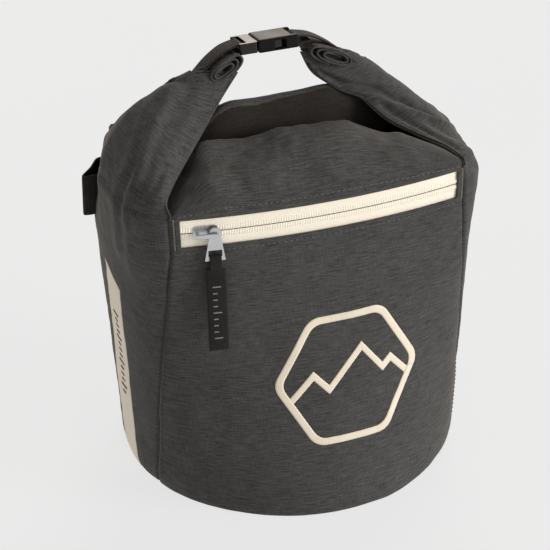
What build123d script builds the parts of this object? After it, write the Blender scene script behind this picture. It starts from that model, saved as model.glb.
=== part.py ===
"""Roll-top fabric bucket bag: a padded round bucket whose flattened neck is rolled and clipped.

Units are millimetres. +Z is up, the front with the zip pocket faces -Y, and the origin is the
centre of the base where it stands on the ground.
"""

from build123d import *
import math
import os

os.makedirs("parts", exist_ok=True)

# ---- driving dimensions ------------------------------------------------------------------

BASE_RADIUS = 105.0
RIM_HEIGHT = 212.0
UPRIGHT_FROM = 188.0  # the wall stands upright from here to the rim, so the zip lies on an arc
RIM_HALF_DEPTH = 75.0
RIM_FRONT_RADIUS = 480.0
RIM_FRONT_HALF_CHORD = 94.0
RIM_CORNER_RADIUS = 28.0
RIM_SIDE_TURN = 12.0  # degrees of the side arc on each side of the middle
BASE_FRONT_TURN = 52.0  # degrees from the front, where the base circle meets the rim's arcs
BASE_SIDE_TURN = 69.0
BASE_SEAM_TURN = 71.5  # degrees from the front, where the slanting front seam starts
RIM_SEAM_TURN = 56.2
BEYOND = 200.0  # further out than any part of the bag

SHELL_THICKNESS = 1.2
PADDING_INNER = 9.2  # inset of the padding's inner face
LINING_THICKNESS = 1.3
FIT_GAP = 0.1
FOAM_LOW = 7.0  # the foam and the lining start above the bound base seam
FOAM_BELOW_RIM = 4.0
POCKET_OUTER = 4.4
POCKET_INNER = 7.0
POCKET_SKIN = 0.6
POCKET_LOW = 62.0
POCKET_HALF_WIDTH = 84.0

ZIP_HEIGHT = 201.0
ZIP_WINDOW_HEIGHT = 19.0
ZIP_HALF_LENGTH = 91.0
ZIP_BAND_LOW = 180.0  # the zip's parts are cut from the upright wall above this height
TAPE_HALF_LENGTH = 93.5
TAPE_THICKNESS = 0.75
TAPE_GAP = 1.6
COIL_THICKNESS = 1.15
COIL_WIDTH = 2.2
COIL_HALF_LENGTH = 86.0
STOP_TURN = 10.62  # degrees round the zip's arc from the middle to an end stop
STOP_LENGTH = 3.0
STOP_HEIGHT = 5.4

LEAN = 10.0  # degrees that the closed handle leans back
WEBBING_WIDTH = 15.0
WEBBING_THICKNESS = 1.5
EAR_THICKNESS = 1.4

BUCKLE_Z = 282.0  # along the leaning plane, before the lean
BUCKLE_MOUTH_X = -17.6
BUCKLE_THICKNESS = 8.6
BUCKLE_HALF_WIDTH = 10.5
CAVITY_THICKNESS = 6.2
PRONG_THICKNESS = 4.6

# ---- corner points of the rim outline ----------------------------------------------------

FRONT_TURN = math.degrees(math.asin(RIM_FRONT_HALF_CHORD / RIM_FRONT_RADIUS))
FRONT_ARC_CENTRE = RIM_FRONT_RADIUS - RIM_HALF_DEPTH
CORNER_X = RIM_FRONT_HALF_CHORD - RIM_CORNER_RADIUS * math.sin(math.radians(FRONT_TURN))
CORNER_Y = RIM_CORNER_RADIUS * math.cos(math.radians(FRONT_TURN)) + FRONT_ARC_CENTRE
CORNER_Y -= RIM_FRONT_RADIUS * math.cos(math.radians(FRONT_TURN))
SIDE_RADIUS = RIM_CORNER_RADIUS - CORNER_Y / math.sin(math.radians(RIM_SIDE_TURN))
SIDE_CENTRE_X = CORNER_X + CORNER_Y / math.tan(math.radians(RIM_SIDE_TURN))
RIM_HALF_WIDTH = SIDE_CENTRE_X + SIDE_RADIUS


def save(name, shape):
    """Writes one named piece."""
    export_step(shape, f"parts/{name}.step")


def from_front(radius, degrees, centre_x=0.0, centre_y=0.0):
    """A point on a circle, at an angle from the front towards the right side."""
    turn = math.radians(degrees)
    return (centre_x + radius * math.sin(turn), centre_y - radius * math.cos(turn))


def closed_outline(quarter, height):
    """A wire of eight arcs from five points of the front right quarter and their mirror images."""
    front, front_end, corner, side_start, side = quarter
    right = [front_end, corner, side_start, side]
    back_right = [(x, -y) for x, y in reversed(right[:-1])]
    half = right + back_right
    left = [(-x, y) for x, y in reversed(half)]
    back = (front[0], -front[1])
    loop = half + [back] + left + [front]
    wire_points = [Vector(x, y, height) for x, y in loop]
    count = len(wire_points)
    edges = []
    for start in range(0, count, 2):
        middle = (start + 1) % count
        end = (start + 2) % count
        edges.append(ThreePointArc(wire_points[start], wire_points[middle], wire_points[end]))
    return Wire([edge.edge() for edge in edges])


def base_outline(inset, height):
    """The round outline at the base, split where the rim's arcs meet."""
    radius = BASE_RADIUS - inset
    corner_middle = (BASE_FRONT_TURN + BASE_SIDE_TURN) / 2
    turns = (0, BASE_FRONT_TURN, corner_middle, BASE_SIDE_TURN, 90)
    return closed_outline([from_front(radius, turn) for turn in turns], height)


def rim_outline(inset, height):
    """The rounded rectangle of tangent arcs at the rim."""
    corner_radius = RIM_CORNER_RADIUS - inset
    side_turn = 90 - RIM_SIDE_TURN
    quarter = [
        (0.0, inset - RIM_HALF_DEPTH),
        from_front(corner_radius, FRONT_TURN, CORNER_X, CORNER_Y),
        from_front(corner_radius, (FRONT_TURN + side_turn) / 2, CORNER_X, CORNER_Y),
        from_front(corner_radius, side_turn, CORNER_X, CORNER_Y),
        (RIM_HALF_WIDTH - inset, 0.0),
    ]
    return closed_outline(quarter, height)


def bag_core(inset):
    """The whole inside of the bag's outline at an inset, from the ground to the rim."""
    flare = Solid.make_loft([base_outline(inset, 0), rim_outline(inset, UPRIGHT_FROM)], True)
    top = Solid.make_loft([rim_outline(inset, UPRIGHT_FROM), rim_outline(inset, RIM_HEIGHT)], True)
    return flare + top


def slab(low, high):
    """Everything between two heights."""
    return Pos(0, 0, (low + high) / 2) * Box(2 * BEYOND, 2 * BEYOND, high - low)


def wall(outer, inner, low, high):
    """A ring of wall between two insets and two heights."""
    return (bag_core(outer) - bag_core(inner)) & slab(low, high)


def front_sector():
    """The wedge between the two slanting front seams."""
    base_seam = from_front(BEYOND, BASE_SEAM_TURN)
    rim_seam = from_front(BEYOND, RIM_SEAM_TURN)
    front = -1.5 * BEYOND

    def outline(seam, height):
        corners = [(0, 0), seam, (seam[0], front), (-seam[0], front), (-seam[0], seam[1])]
        return Wire.make_polygon([Vector(x, y, height) for x, y in corners], close=True)

    return Solid.make_loft([outline(base_seam, 0), outline(rim_seam, RIM_HEIGHT)], True)


def lean(shape):
    """Tips a piece of the handle back about the rim line."""
    return Pos(0, 0, RIM_HEIGHT) * Rot(-LEAN, 0, 0) * Pos(0, 0, -RIM_HEIGHT) * shape


def block(x_range, y_range, z_range):
    """A plain box from its limits."""
    spans = (x_range, y_range, z_range)
    centre = [(low + high) / 2 for low, high in spans]
    size = [high - low for low, high in spans]
    return Pos(*centre) * Box(*size)


# ---- bucket ------------------------------------------------------------------------------

SECTOR = front_sector()
FRONT_HALF = (-BEYOND, 0)
FRONT_BOX = block((-ZIP_HALF_LENGTH, ZIP_HALF_LENGTH), FRONT_HALF, (0, RIM_HEIGHT))
ZIP_LOW = ZIP_HEIGHT - ZIP_WINDOW_HEIGHT / 2
ZIP_HIGH = ZIP_HEIGHT + ZIP_WINDOW_HEIGHT / 2


def make_walls():
    """The outer cloth: one wrap round the sides and back, and the front pocket panel."""
    shell = wall(0, SHELL_THICKNESS, 0, RIM_HEIGHT)
    save("side_wrap", shell - SECTOR)
    window = FRONT_BOX & slab(ZIP_LOW, ZIP_HIGH)
    save("front_pocket_panel", (shell & SECTOR) - window)


def make_base():
    """The base cloth, its stiff board and the bound seam round its edge."""
    edge_clearance = 0.4  # the wall leans in a little from the ground up
    cloth_radius = BASE_RADIUS - SHELL_THICKNESS - edge_clearance
    save("base_panel", Pos(0, 0, SHELL_THICKNESS / 2) * Cylinder(cloth_radius, SHELL_THICKNESS))
    binding_height = 5.0
    binding_outer = cloth_radius - 1.0
    binding_inner = cloth_radius - 3.0
    ring = Cylinder(binding_outer, binding_height) - Cylinder(binding_inner, binding_height)
    floor = SHELL_THICKNESS + FIT_GAP
    save("base_binding", Pos(0, 0, floor + binding_height / 2) * ring)
    board_thickness = 3.0
    board = Cylinder(binding_inner - FIT_GAP, board_thickness)
    save("base_board", Pos(0, 0, floor + board_thickness / 2) * board)


def make_inside():
    """The foam wall that keeps the bucket standing, the soft lining and the zip pocket's bag."""
    behind_pocket = POCKET_INNER + 0.2
    front_relief = (bag_core(0) - bag_core(behind_pocket)) & SECTOR
    foam = wall(SHELL_THICKNESS + FIT_GAP, PADDING_INNER, FOAM_LOW, RIM_HEIGHT - FOAM_BELOW_RIM)
    save("wall_padding", foam - front_relief)

    lining_outer = PADDING_INNER + FIT_GAP
    lining_inner = lining_outer + LINING_THICKNESS
    open_top = RIM_HEIGHT + 1
    cup = bag_core(lining_outer) & slab(FOAM_LOW, RIM_HEIGHT)
    hollow = bag_core(lining_inner) & slab(FOAM_LOW + LINING_THICKNESS, open_top)
    save("lining", cup - hollow)

    pocket_high = ZIP_LOW - 2
    half = POCKET_HALF_WIDTH
    sides = block((-half, half), FRONT_HALF, (POCKET_LOW, pocket_high))
    outside = wall(POCKET_OUTER, POCKET_INNER, POCKET_LOW, pocket_high) & sides
    inner_half = half - POCKET_SKIN
    inner_sides = block((-inner_half, inner_half), FRONT_HALF, (POCKET_LOW + POCKET_SKIN, open_top))
    pocket_outer = POCKET_OUTER + POCKET_SKIN
    pocket_inner = POCKET_INNER - POCKET_SKIN
    hollow = wall(pocket_outer, pocket_inner, POCKET_LOW, ZIP_HIGH) & inner_sides
    save("pocket_bag", outside - hollow)


# ---- zip ---------------------------------------------------------------------------------

TAPE_INSET = SHELL_THICKNESS + FIT_GAP
COIL_INSET = TAPE_INSET + TAPE_THICKNESS + FIT_GAP
SLIDER_X = -78.0
SLIDER_TURN = math.degrees(math.asin(SLIDER_X / RIM_FRONT_RADIUS))
SLIDER_LENGTH = 15.5
SLIDER_HEIGHT = 9.6
SLIDER_CORNER = 3.0
SLIDER_BACK = 0.85  # thickness of the plate behind the coils
SLIDER_FACE = -0.25  # just proud of the cloth, because the tapes sit behind the window
BRIDGE_SIZE = (13.2, 1.4, 3.0)
PULLER_X = 5.2  # the bridge post that the puller turns on


def on_zip(shape, turn):
    """Places a piece drawn at the front middle, at an angle round the zip's arc."""
    return Pos(0, FRONT_ARC_CENTRE, ZIP_HEIGHT) * Rot(0, 0, turn) * Pos(0, -RIM_FRONT_RADIUS, 0) * shape


def make_zip():
    """Two tapes with their coils behind them, and the stops at both ends."""
    band = (ZIP_BAND_LOW, RIM_HEIGHT)
    tape = wall(TAPE_INSET, TAPE_INSET + TAPE_THICKNESS, *band)
    tape &= block((-TAPE_HALF_LENGTH, TAPE_HALF_LENGTH), FRONT_HALF, band)
    coil = wall(COIL_INSET, COIL_INSET + COIL_THICKNESS, *band)
    coil &= block((-COIL_HALF_LENGTH, COIL_HALF_LENGTH), FRONT_HALF, band)
    seam_margin = 1.3
    for name, side in (("lower", -1), ("upper", 1)):
        edge = ZIP_HEIGHT + side * TAPE_GAP / 2
        far = ZIP_HEIGHT + side * (ZIP_WINDOW_HEIGHT / 2 + seam_margin)
        save(f"zip_tape_{name}", tape & slab(min(edge, far), max(edge, far)))
        far = edge + side * COIL_WIDTH
        save(f"zip_coil_{name}", coil & slab(min(edge, far), max(edge, far)))
    stop_inset = COIL_INSET + COIL_THICKNESS / 2
    stop = Pos(0, stop_inset, 0) * Box(STOP_LENGTH, COIL_THICKNESS, STOP_HEIGHT)
    ends = [on_zip(stop, turn) for turn in (-STOP_TURN, STOP_TURN)]
    save("zip_end_stops", Compound(children=ends))


def make_slider():
    """The slider clamps both coils between two plates, with a bridge that holds the puller."""
    outline = RectangleRounded(SLIDER_LENGTH, SLIDER_HEIGHT, SLIDER_CORNER)
    front_depth = TAPE_INSET - 0.15 - SLIDER_FACE
    front = Pos(0, SLIDER_FACE, 0) * extrude(Plane.XZ * outline, -front_depth)
    back_inset = COIL_INSET + COIL_THICKNESS + FIT_GAP
    back = Pos(0, back_inset, 0) * extrude(Plane.XZ * outline, -SLIDER_BACK)
    into_plate = 0.2
    neck_x = (-6.5, -1.5)
    neck_half = 0.7
    neck_y = (SLIDER_FACE + into_plate, back_inset + 2 * into_plate)
    neck = block(neck_x, neck_y, (-neck_half, neck_half))
    post_radius = 1.1
    post_height = 4.8
    post = Rot(90, 0, 0) * Cylinder(post_radius, post_height)
    post_y = SLIDER_FACE + into_plate - post_height / 2
    bar = Pos(0, SLIDER_FACE - post_height, 0) * Box(*BRIDGE_SIZE)
    bar = fillet(bar.edges().filter_by(Axis.X), 0.5)
    body = front + back + neck + bar
    for x in (-PULLER_X, PULLER_X):
        body += Pos(x, post_y, 0) * post
    save("zip_slider", on_zip(body, SLIDER_TURN))


PULLER_PLANE = -3.2  # middle of the puller, between the slider's face and its bridge
PULLER_THICKNESS = 1.6
PULLER_SLOT_Z = -13.0
PULLER_SLOT_SIZE = (8.6, 4.6)
TAG_BAR_Z = -16.65  # middle of the puller's lower bar
TAG_LOOP_WIDTH = 7.6
TAG_HALF_WIDTH = 6.2
TAG_LENGTH = 60.0
TAG_BODY_FROM = 7.0  # the wide, folded part starts this far below the bar
TAG_SHEET = 0.6
TAG_LOOP_OUTER = 2.3
TAG_TILT = 9.0


def make_puller():
    """A flat metal puller: an eye round the bridge's post, a blade and a slot for the tag."""
    eye_radius = 4.1
    hole_radius = 1.9
    top_half, top_z = 3.6, -1.5
    end_half, end_z = 6.4, -18.0
    blade = Polygon((-top_half, top_z), (top_half, top_z), (end_half, end_z), (-end_half, end_z), align=None)
    slot = Pos(0, PULLER_SLOT_Z) * RectangleRounded(*PULLER_SLOT_SIZE, 0.8)
    shape = Circle(eye_radius) + blade - Circle(hole_radius) - slot
    body = extrude(Plane.XZ * shape, PULLER_THICKNESS / 2, both=True)
    save("zip_puller", on_zip(Pos(PULLER_X, PULLER_PLANE, 0) * body, SLIDER_TURN))


def make_pull_tag():
    """The webbing tag, folded once through the puller's slot and hanging clear of the wall."""
    doubled = 2.0
    ring = Circle(TAG_LOOP_OUTER) - Circle(TAG_LOOP_OUTER - TAG_SHEET)
    hang_low, hang_high = -TAG_LENGTH, -doubled
    hang = Pos(0, (hang_low + hang_high) / 2) * Rectangle(doubled, hang_high - hang_low)
    hang -= Circle(TAG_LOOP_OUTER - 0.2)
    loop = extrude(Plane.YZ * (ring + hang), TAG_LOOP_WIDTH / 2, both=True)
    half = doubled / 2
    lower = block((-TAG_HALF_WIDTH, TAG_HALF_WIDTH), (-half, half), (-TAG_LENGTH, -TAG_BODY_FROM))
    tag = Pos(PULLER_X, PULLER_PLANE, TAG_BAR_Z) * Rot(-TAG_TILT, 0, 0) * (loop + lower)
    save("pull_tag", on_zip(tag, SLIDER_TURN))


# ---- neck --------------------------------------------------------------------------------

NECK_GAP = 0.5
PANEL_HALF_WIDTH = 86.0
PANEL_INSET = 1.2
PANEL_THICKNESS = 1.0
PANEL_COLUMNS, PANEL_ROWS = 16, 14
CREST_Y, CREST_Z = -24.0, 236.0  # the crest in the middle; it sinks forwards towards the corners
CREST_FORWARD, CREST_SINK = 36.0, 19.0
VALLEY_Y, VALLEY_Z = -7.0, 222.0
VALLEY_SINK = 6.0
CREST_SHARE = 0.6  # how far up the panel the crest lies


def rim_depth(x, inset=0.0):
    """How far the front of the rim lies in front of the middle plane."""
    return math.sqrt((RIM_FRONT_RADIUS - inset) ** 2 - x * x) - FRONT_ARC_CENTRE


def upper_panel_point(x, share):
    """A point of the front neck cloth: up from the rim, over the crest and down to the roll."""
    spread = (abs(x) / 95.0) ** 2.2
    rim = (-rim_depth(x, PANEL_INSET), RIM_HEIGHT + NECK_GAP)
    crest = (CREST_Y - CREST_FORWARD * spread, CREST_Z - CREST_SINK * spread)
    valley = (VALLEY_Y, VALLEY_Z - VALLEY_SINK * spread)
    if share <= CREST_SHARE:
        along = share / CREST_SHARE
        y = rim[0] + (crest[0] - rim[0]) * along
        z = rim[1] + (crest[1] - rim[1]) * math.sin(along * math.pi / 2)
        return (x, y, z)
    along = (share - CREST_SHARE) / (1 - CREST_SHARE)
    y = crest[0] + (valley[0] - crest[0]) * along
    z = valley[1] + (crest[1] - valley[1]) * (1 + math.cos(along * math.pi)) / 2
    return (x, y, z)


def cloth_sheet(point, columns, rows, thickness):
    """A smooth sheet of cloth through a grid of points, given its thickness."""
    grid = []
    for column in range(columns + 1):
        line = [Vector(*point(column / columns, row / rows)) for row in range(rows + 1)]
        grid.append(line)
    face = Face.make_surface_from_array_of_points(grid, tol=0.05)
    return Solid.thicken(face, thickness)


def make_upper_panels():
    """The front and back cloth of the neck, between the rim and the rolled lips."""

    def front_point(column, row):
        return upper_panel_point(PANEL_HALF_WIDTH * (2 * column - 1), row)

    panel = cloth_sheet(front_point, PANEL_COLUMNS, PANEL_ROWS, PANEL_THICKNESS)
    save("front_upper_panel", panel)
    save("back_upper_panel", mirror(panel, Plane.XZ))


def make_lip_roll():
    """The neck's two lips rolled together flat, round a springy strip."""
    half_length = 70.0
    roll_height, roll_depth = 25.0, 10.0
    hollow_height, hollow_depth = 19.0, 2.4
    strip_height, strip_depth = 17.0, 1.4
    outer = SlotOverall(roll_height, roll_depth, rotation=90)
    inner = SlotOverall(hollow_height, hollow_depth, rotation=90)
    roll = extrude(Plane.YZ * (outer - inner), half_length, both=True)
    strip = SlotOverall(strip_height, strip_depth, rotation=90)
    stiffener = extrude(Plane.YZ * strip, half_length - 4, both=True)
    centre = Pos(0, 1.5, 231.0)
    save("lip_roll", centre * roll)
    save("lip_stiffener", centre * stiffener)


EAR_BASE = RIM_HEIGHT + 2.5
LEFT_RIDGE = [(-118.2, EAR_BASE), (-118, 229), (-113, 240), (-96, 251), (-75, 259.5), (-56, 265.5)]
RIGHT_RIDGE = [(116.5, EAR_BASE), (107, 219), (95, 227.5), (79, 241), (62, 253), (47, 258)]
LEFT_EDGE = [(-96, -62, EAR_BASE), (-91, -56, 223), (-80, -44, 228), (-66, -29, 238), (-46, -13, 252),
             (-36, -8, 264.5)]
RIGHT_EDGE = [(95, -62, EAR_BASE), (90, -57, 222.5), (76, -46, 227), (58, -29, 231), (34, -12, 246),
              (14, -8, 262)]


def between(points, share):
    """A point at an even share of the way along a list of points."""
    place = share * (len(points) - 1)
    index = min(int(place), len(points) - 2)
    rest = place - index
    start = points[index]
    end = points[index + 1]
    return [a + (b - a) * rest for a, b in zip(start, end)]


def ear_point(ridge, edge, side_share, up_share):
    """A point of an ear: across from the front edge over the outer ridge to the back edge."""
    ridge_x, ridge_z = between(ridge, up_share)
    edge_x, edge_y, edge_z = between(edge, up_share)
    across = 2 * side_share - 1
    turn = abs(across) * math.pi / 2
    squareness = 0.62 + 0.30 * up_share
    outward = math.cos(turn) ** squareness if abs(across) < 1 else 0.0
    sideways = math.sin(turn) ** squareness
    x = edge_x + (ridge_x - edge_x) * outward
    z = edge_z + (ridge_z - edge_z) * outward
    y = -edge_y * sideways * (1 if across > 0 else -1)
    return (x, y + (z - EAR_BASE) * math.tan(math.radians(LEAN)), z)


def make_ears():
    """The two sides of the neck, drawn up and inwards towards the buckle."""
    for name, ridge, edge in (("left", LEFT_RIDGE, LEFT_EDGE), ("right", RIGHT_RIDGE, RIGHT_EDGE)):

        def point(column, row, ridge=ridge, edge=edge):
            return ear_point(ridge, edge, column, row)

        save(f"{name}_ear", cloth_sheet(point, 20, 10, EAR_THICKNESS))


def make_roll_ends():
    """The ends of the rolled lips, doubled back under the straps."""
    length, height, half_depth = 22.0, 9.6, 11.0
    ends = (("left", -41.0, 275.4, 24.0), ("right", 29.5, 271.6, -24.0))
    for name, x, z, slope in ends:
        outline = Pos(x, z) * Rot(0, 0, slope) * SlotOverall(length, height)
        roll = extrude(Plane.XZ * outline, half_depth, both=True)
        save(f"{name}_roll_end", lean(roll))


# ---- straps and buckle -------------------------------------------------------------------

BAR_RADIUS = 1.5
LOOP_INNER = BAR_RADIUS + 0.15
LOOP_OUTER = LOOP_INNER + WEBBING_THICKNESS


def strap(points, bar):
    """A strap whose end loops round a bar of the buckle."""
    path = Spline(*points)
    line = path.edge()
    steps = 12
    half = WEBBING_THICKNESS / 2
    upper = []
    lower = []
    for step in range(steps + 1):
        place = line @ (step / steps)
        heading = line % (step / steps)
        normal = Vector(-heading.Y, heading.X) * half
        upper.append(place + normal)
        lower.append(place - normal)
    outline = Wire([Spline(*upper).edge(), Line(upper[-1], lower[-1]).edge(),
                    Spline(*reversed(lower)).edge(), Line(lower[0], upper[0]).edge()])
    band = Sketch() + make_face(outline)
    band += Pos(*bar) * Circle(LOOP_OUTER)
    band -= Pos(*bar) * Circle(LOOP_INNER)
    return lean(extrude(Plane.XZ * band, WEBBING_WIDTH / 2, both=True))


LEFT_BAR = (-28.0, BUCKLE_Z)
RIGHT_BAR = (9.4, BUCKLE_Z)
LEFT_STRAP = [(-112, 249.5), (-97, 257.5), (-76, 266.5), (-62, 273), (-46, 283)]
RIGHT_STRAP = [(86, 247), (70, 258.5), (52, 269), (38, 276.5), (22, 283)]


def make_straps():
    """The webbing sewn to the outside of each ear, ending in a loop round the buckle's bar."""
    over_bar = 2.4
    for name, points, bar in (("left", LEFT_STRAP, LEFT_BAR), ("right", RIGHT_STRAP, RIGHT_BAR)):
        save(f"{name}_strap", strap(points + [(bar[0], bar[1] + over_bar)], bar))


def buckle_block(x_range, y_range, thickness):
    """A block centred on the buckle's middle height."""
    half = thickness / 2
    return block(x_range, y_range, (BUCKLE_Z - half, BUCKLE_Z + half))


PRONG_PIVOT_X = BUCKLE_MOUTH_X - 1.9
PRONG_Y = 6.2
PRONG_EYE = 1.3
PLUG_HALF_WIDTH = 10.0
PLUG_THICKNESS = 7.0
SLOT_HALF = WEBBING_WIDTH / 2 + 0.4  # half the width of the openings that the straps pass through


def make_plug():
    """The plug: a frame with the strap's bar, a guide tongue and seats for the two prongs."""
    low_x = LEFT_BAR[0] - BAR_RADIUS
    frame_x = (low_x, BUCKLE_MOUTH_X - 0.4)
    frame = buckle_block(frame_x, (-PLUG_HALF_WIDTH, PLUG_HALF_WIDTH), PLUG_THICKNESS)
    frame = fillet(frame.edges().filter_by(Axis.Z), 1.2)
    slot_x = (low_x - 1, LEFT_BAR[0] + LOOP_OUTER + 0.3)
    frame -= buckle_block(slot_x, (-SLOT_HALF, SLOT_HALF), PLUG_THICKNESS + 2)
    bar = Pos(LEFT_BAR[0], 0, BUCKLE_Z) * Rot(90, 0, 0) * Cylinder(BAR_RADIUS, 2 * SLOT_HALF + 0.4)
    tongue_x = (BUCKLE_MOUTH_X - 0.6, BUCKLE_MOUTH_X + 12)
    tongue_half = 1.4
    tongue = buckle_block(tongue_x, (-tongue_half, tongue_half), PRONG_THICKNESS)
    plug = frame + bar + tongue
    seat_height = PRONG_THICKNESS + 0.2
    mouth_half = 1.6
    for side in (-1, 1):
        seat = Pos(PRONG_PIVOT_X, side * PRONG_Y, BUCKLE_Z) * Cylinder(PRONG_EYE + 0.1, seat_height)
        mouth = buckle_block((PRONG_PIVOT_X, BUCKLE_MOUTH_X), (-mouth_half, mouth_half), seat_height)
        plug -= seat
        plug -= Pos(0, side * PRONG_Y, 0) * mouth
    save("buckle_plug", lean(plug))


def make_prongs():
    """The two springy arms that the thumb and finger squeeze to free the plug."""
    tip_x = BUCKLE_MOUTH_X + 17
    head_x = tip_x - 6.2
    low = PRONG_Y - 1.0
    high = PRONG_Y + 1.0
    head_high = 9.5
    tip = [(tip_x - 1.2, low), (tip_x, PRONG_Y + 0.4), (tip_x - 1.5, head_high - 0.5)]
    outline = [(PRONG_PIVOT_X, low), *tip, (head_x, head_high), (head_x, high), (PRONG_PIVOT_X, high)]
    flat = Polygon(*outline, align=None) + Pos(PRONG_PIVOT_X, PRONG_Y) * Circle(PRONG_EYE)
    back = Pos(0, 0, BUCKLE_Z) * extrude(flat, PRONG_THICKNESS / 2, both=True)
    save("prong_back", lean(back))
    save("prong_front", lean(mirror(back, Plane.XZ)))


def make_socket():
    """The socket: a flat mouth, a window each side that catches a prong, and the strap's bar."""
    mouth = BUCKLE_MOUTH_X
    body_end = mouth + 22.4
    cavity_end = mouth + 19.4
    window_x = (mouth + 10.4, mouth + 18.4)
    half = BUCKLE_HALF_WIDTH
    cavity_half = 7.9
    body = buckle_block((mouth, RIGHT_BAR[0]), (-half, half), BUCKLE_THICKNESS)
    body = fillet(body.edges().filter_by(Axis.Z), 1.5)
    body = fillet(body.edges().filter_by(Axis.X), 1.6)
    cavity = buckle_block((mouth - 1, cavity_end), (-cavity_half, cavity_half), CAVITY_THICKNESS)
    windows = buckle_block(window_x, (-half - 1, half + 1), PRONG_THICKNESS + 1.2)
    slot = buckle_block((body_end, RIGHT_BAR[0] + 9), (-SLOT_HALF, SLOT_HALF), BUCKLE_THICKNESS + 3.4)
    bar = Pos(RIGHT_BAR[0], 0, BUCKLE_Z) * Rot(90, 0, 0) * Cylinder(BAR_RADIUS, 2 * SLOT_HALF + 1.2)
    save("buckle_socket", lean(body - cavity - windows - slot + bar))


# ---- trim --------------------------------------------------------------------------------

LOOP_Z = 184.0
LOOP_HEIGHT = 32.0
LOOP_WIDTH = 22.0
LOOP_STAND = 9.0
LOOP_SHEET = 1.5
FILM_BED = 0.02  # gap between a film and the cloth
FILM_TOP = 0.35
STRIP_HALF_WIDTH = 13.0
STRIP_HEIGHTS = (1.0, 150.0)
EMBLEM_CENTRE = (8.5, 91.5)
EMBLEM_OUTER, EMBLEM_OUTER_CORNER = 50.0, 12.0
EMBLEM_INNER, EMBLEM_INNER_CORNER = 43.5, 9.0
EMBLEM_RIDGE = [(-46, -16), (-20, 12), (-5, -3), (14, 20), (46, -12)]
EMBLEM_BAND = 6.5


def make_brush_loops():
    """A standing band of wide elastic on each side towards the back, which holds a brush."""
    seat_y = -CORNER_Y + 5.8
    seat_x = SIDE_CENTRE_X + math.sqrt(SIDE_RADIUS**2 - seat_y**2)
    outer = fillet(Rectangle(2 * LOOP_STAND, LOOP_WIDTH).vertices(), 3.0)
    inner_size = (2 * (LOOP_STAND - LOOP_SHEET), LOOP_WIDTH - 2 * LOOP_SHEET)
    inner = fillet(Rectangle(*inner_size).vertices(), 1.6)
    band = extrude(outer - inner, LOOP_HEIGHT / 2, both=True)
    band = Pos(seat_x, seat_y, LOOP_Z) * Rot(0, 0, RIM_SIDE_TURN) * band
    band -= bag_core(-0.05)
    right = band.solids().sort_by(Axis.X)[-1]
    save("brush_loop_right", right)
    save("brush_loop_left", mirror(right, Plane.YZ))


def make_trim():
    """The pale side strip and the pale emblem, both thin films bonded to the cloth."""
    film = bag_core(-FILM_TOP) - bag_core(-FILM_BED)
    left_side = block((-BEYOND, 0), (-STRIP_HALF_WIDTH, STRIP_HALF_WIDTH), STRIP_HEIGHTS)
    save("side_strip", film & left_side)

    outer = fillet(RegularPolygon(EMBLEM_OUTER, 6).vertices(), EMBLEM_OUTER_CORNER)
    inner = fillet(RegularPolygon(EMBLEM_INNER, 6).vertices(), EMBLEM_INNER_CORNER)
    lower = [(x, z - EMBLEM_BAND) for x, z in reversed(EMBLEM_RIDGE)]
    band = Polygon(*EMBLEM_RIDGE, *lower, align=None) & outer
    emblem = Pos(*EMBLEM_CENTRE) * (outer - inner + band)
    through = extrude(Plane.XZ * emblem, BEYOND, both=True)
    front = block((-BEYOND, BEYOND), FRONT_HALF, (0, RIM_HEIGHT))
    save("front_emblem", film & through & front)


make_walls()
make_base()
make_inside()
make_zip()
make_slider()
make_puller()
make_pull_tag()
make_upper_panels()
make_lip_roll()
make_ears()
make_roll_ends()
make_straps()
make_plug()
make_prongs()
make_socket()
make_brush_loops()
make_trim()
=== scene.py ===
import math

import bpy
import numpy as np
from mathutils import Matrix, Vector


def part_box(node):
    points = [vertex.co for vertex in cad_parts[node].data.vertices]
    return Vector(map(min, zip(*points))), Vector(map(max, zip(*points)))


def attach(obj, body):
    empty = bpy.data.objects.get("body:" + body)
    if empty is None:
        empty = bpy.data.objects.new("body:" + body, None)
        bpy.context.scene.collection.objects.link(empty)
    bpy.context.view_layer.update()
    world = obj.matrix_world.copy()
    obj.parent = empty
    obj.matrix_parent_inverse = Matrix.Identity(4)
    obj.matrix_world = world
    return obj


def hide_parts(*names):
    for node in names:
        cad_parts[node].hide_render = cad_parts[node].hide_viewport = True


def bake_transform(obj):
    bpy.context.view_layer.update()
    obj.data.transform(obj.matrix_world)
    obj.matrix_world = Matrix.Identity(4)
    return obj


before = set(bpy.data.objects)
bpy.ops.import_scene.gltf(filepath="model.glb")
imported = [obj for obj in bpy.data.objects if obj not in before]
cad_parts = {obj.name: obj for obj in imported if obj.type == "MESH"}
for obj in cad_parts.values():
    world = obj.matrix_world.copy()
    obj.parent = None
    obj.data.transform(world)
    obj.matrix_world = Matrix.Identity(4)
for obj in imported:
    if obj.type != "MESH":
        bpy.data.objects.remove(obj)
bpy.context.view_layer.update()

# The looks of a roll-top fabric bucket bag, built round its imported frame.
# Everything below is in millimetres in the bag's own frame (+Z up, front towards -Y), and is
# turned into metres when a mesh is made.

MM = 0.001

# ---- sizes shared with the frame ----

RIM_HEIGHT = 212.0
UPRIGHT_FROM = 188.0
BASE_RADIUS = 105.0
FRONT_RADIUS = 480.0
FRONT_CENTRE = 405.0
CORNER_RADIUS = 28.0
CORNER_CENTRE = (88.52, -38.25)
SIDE_RADIUS = 212.0
SIDE_CENTRE = -91.4
BASE_TURNS = (0.0, 52.0, 69.0, 90.0)
RIM_TURNS = (0.0, 11.29, 78.0, 90.0)
BASE_SEAM = 2.12
RIM_SEAM = 1.1

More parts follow.
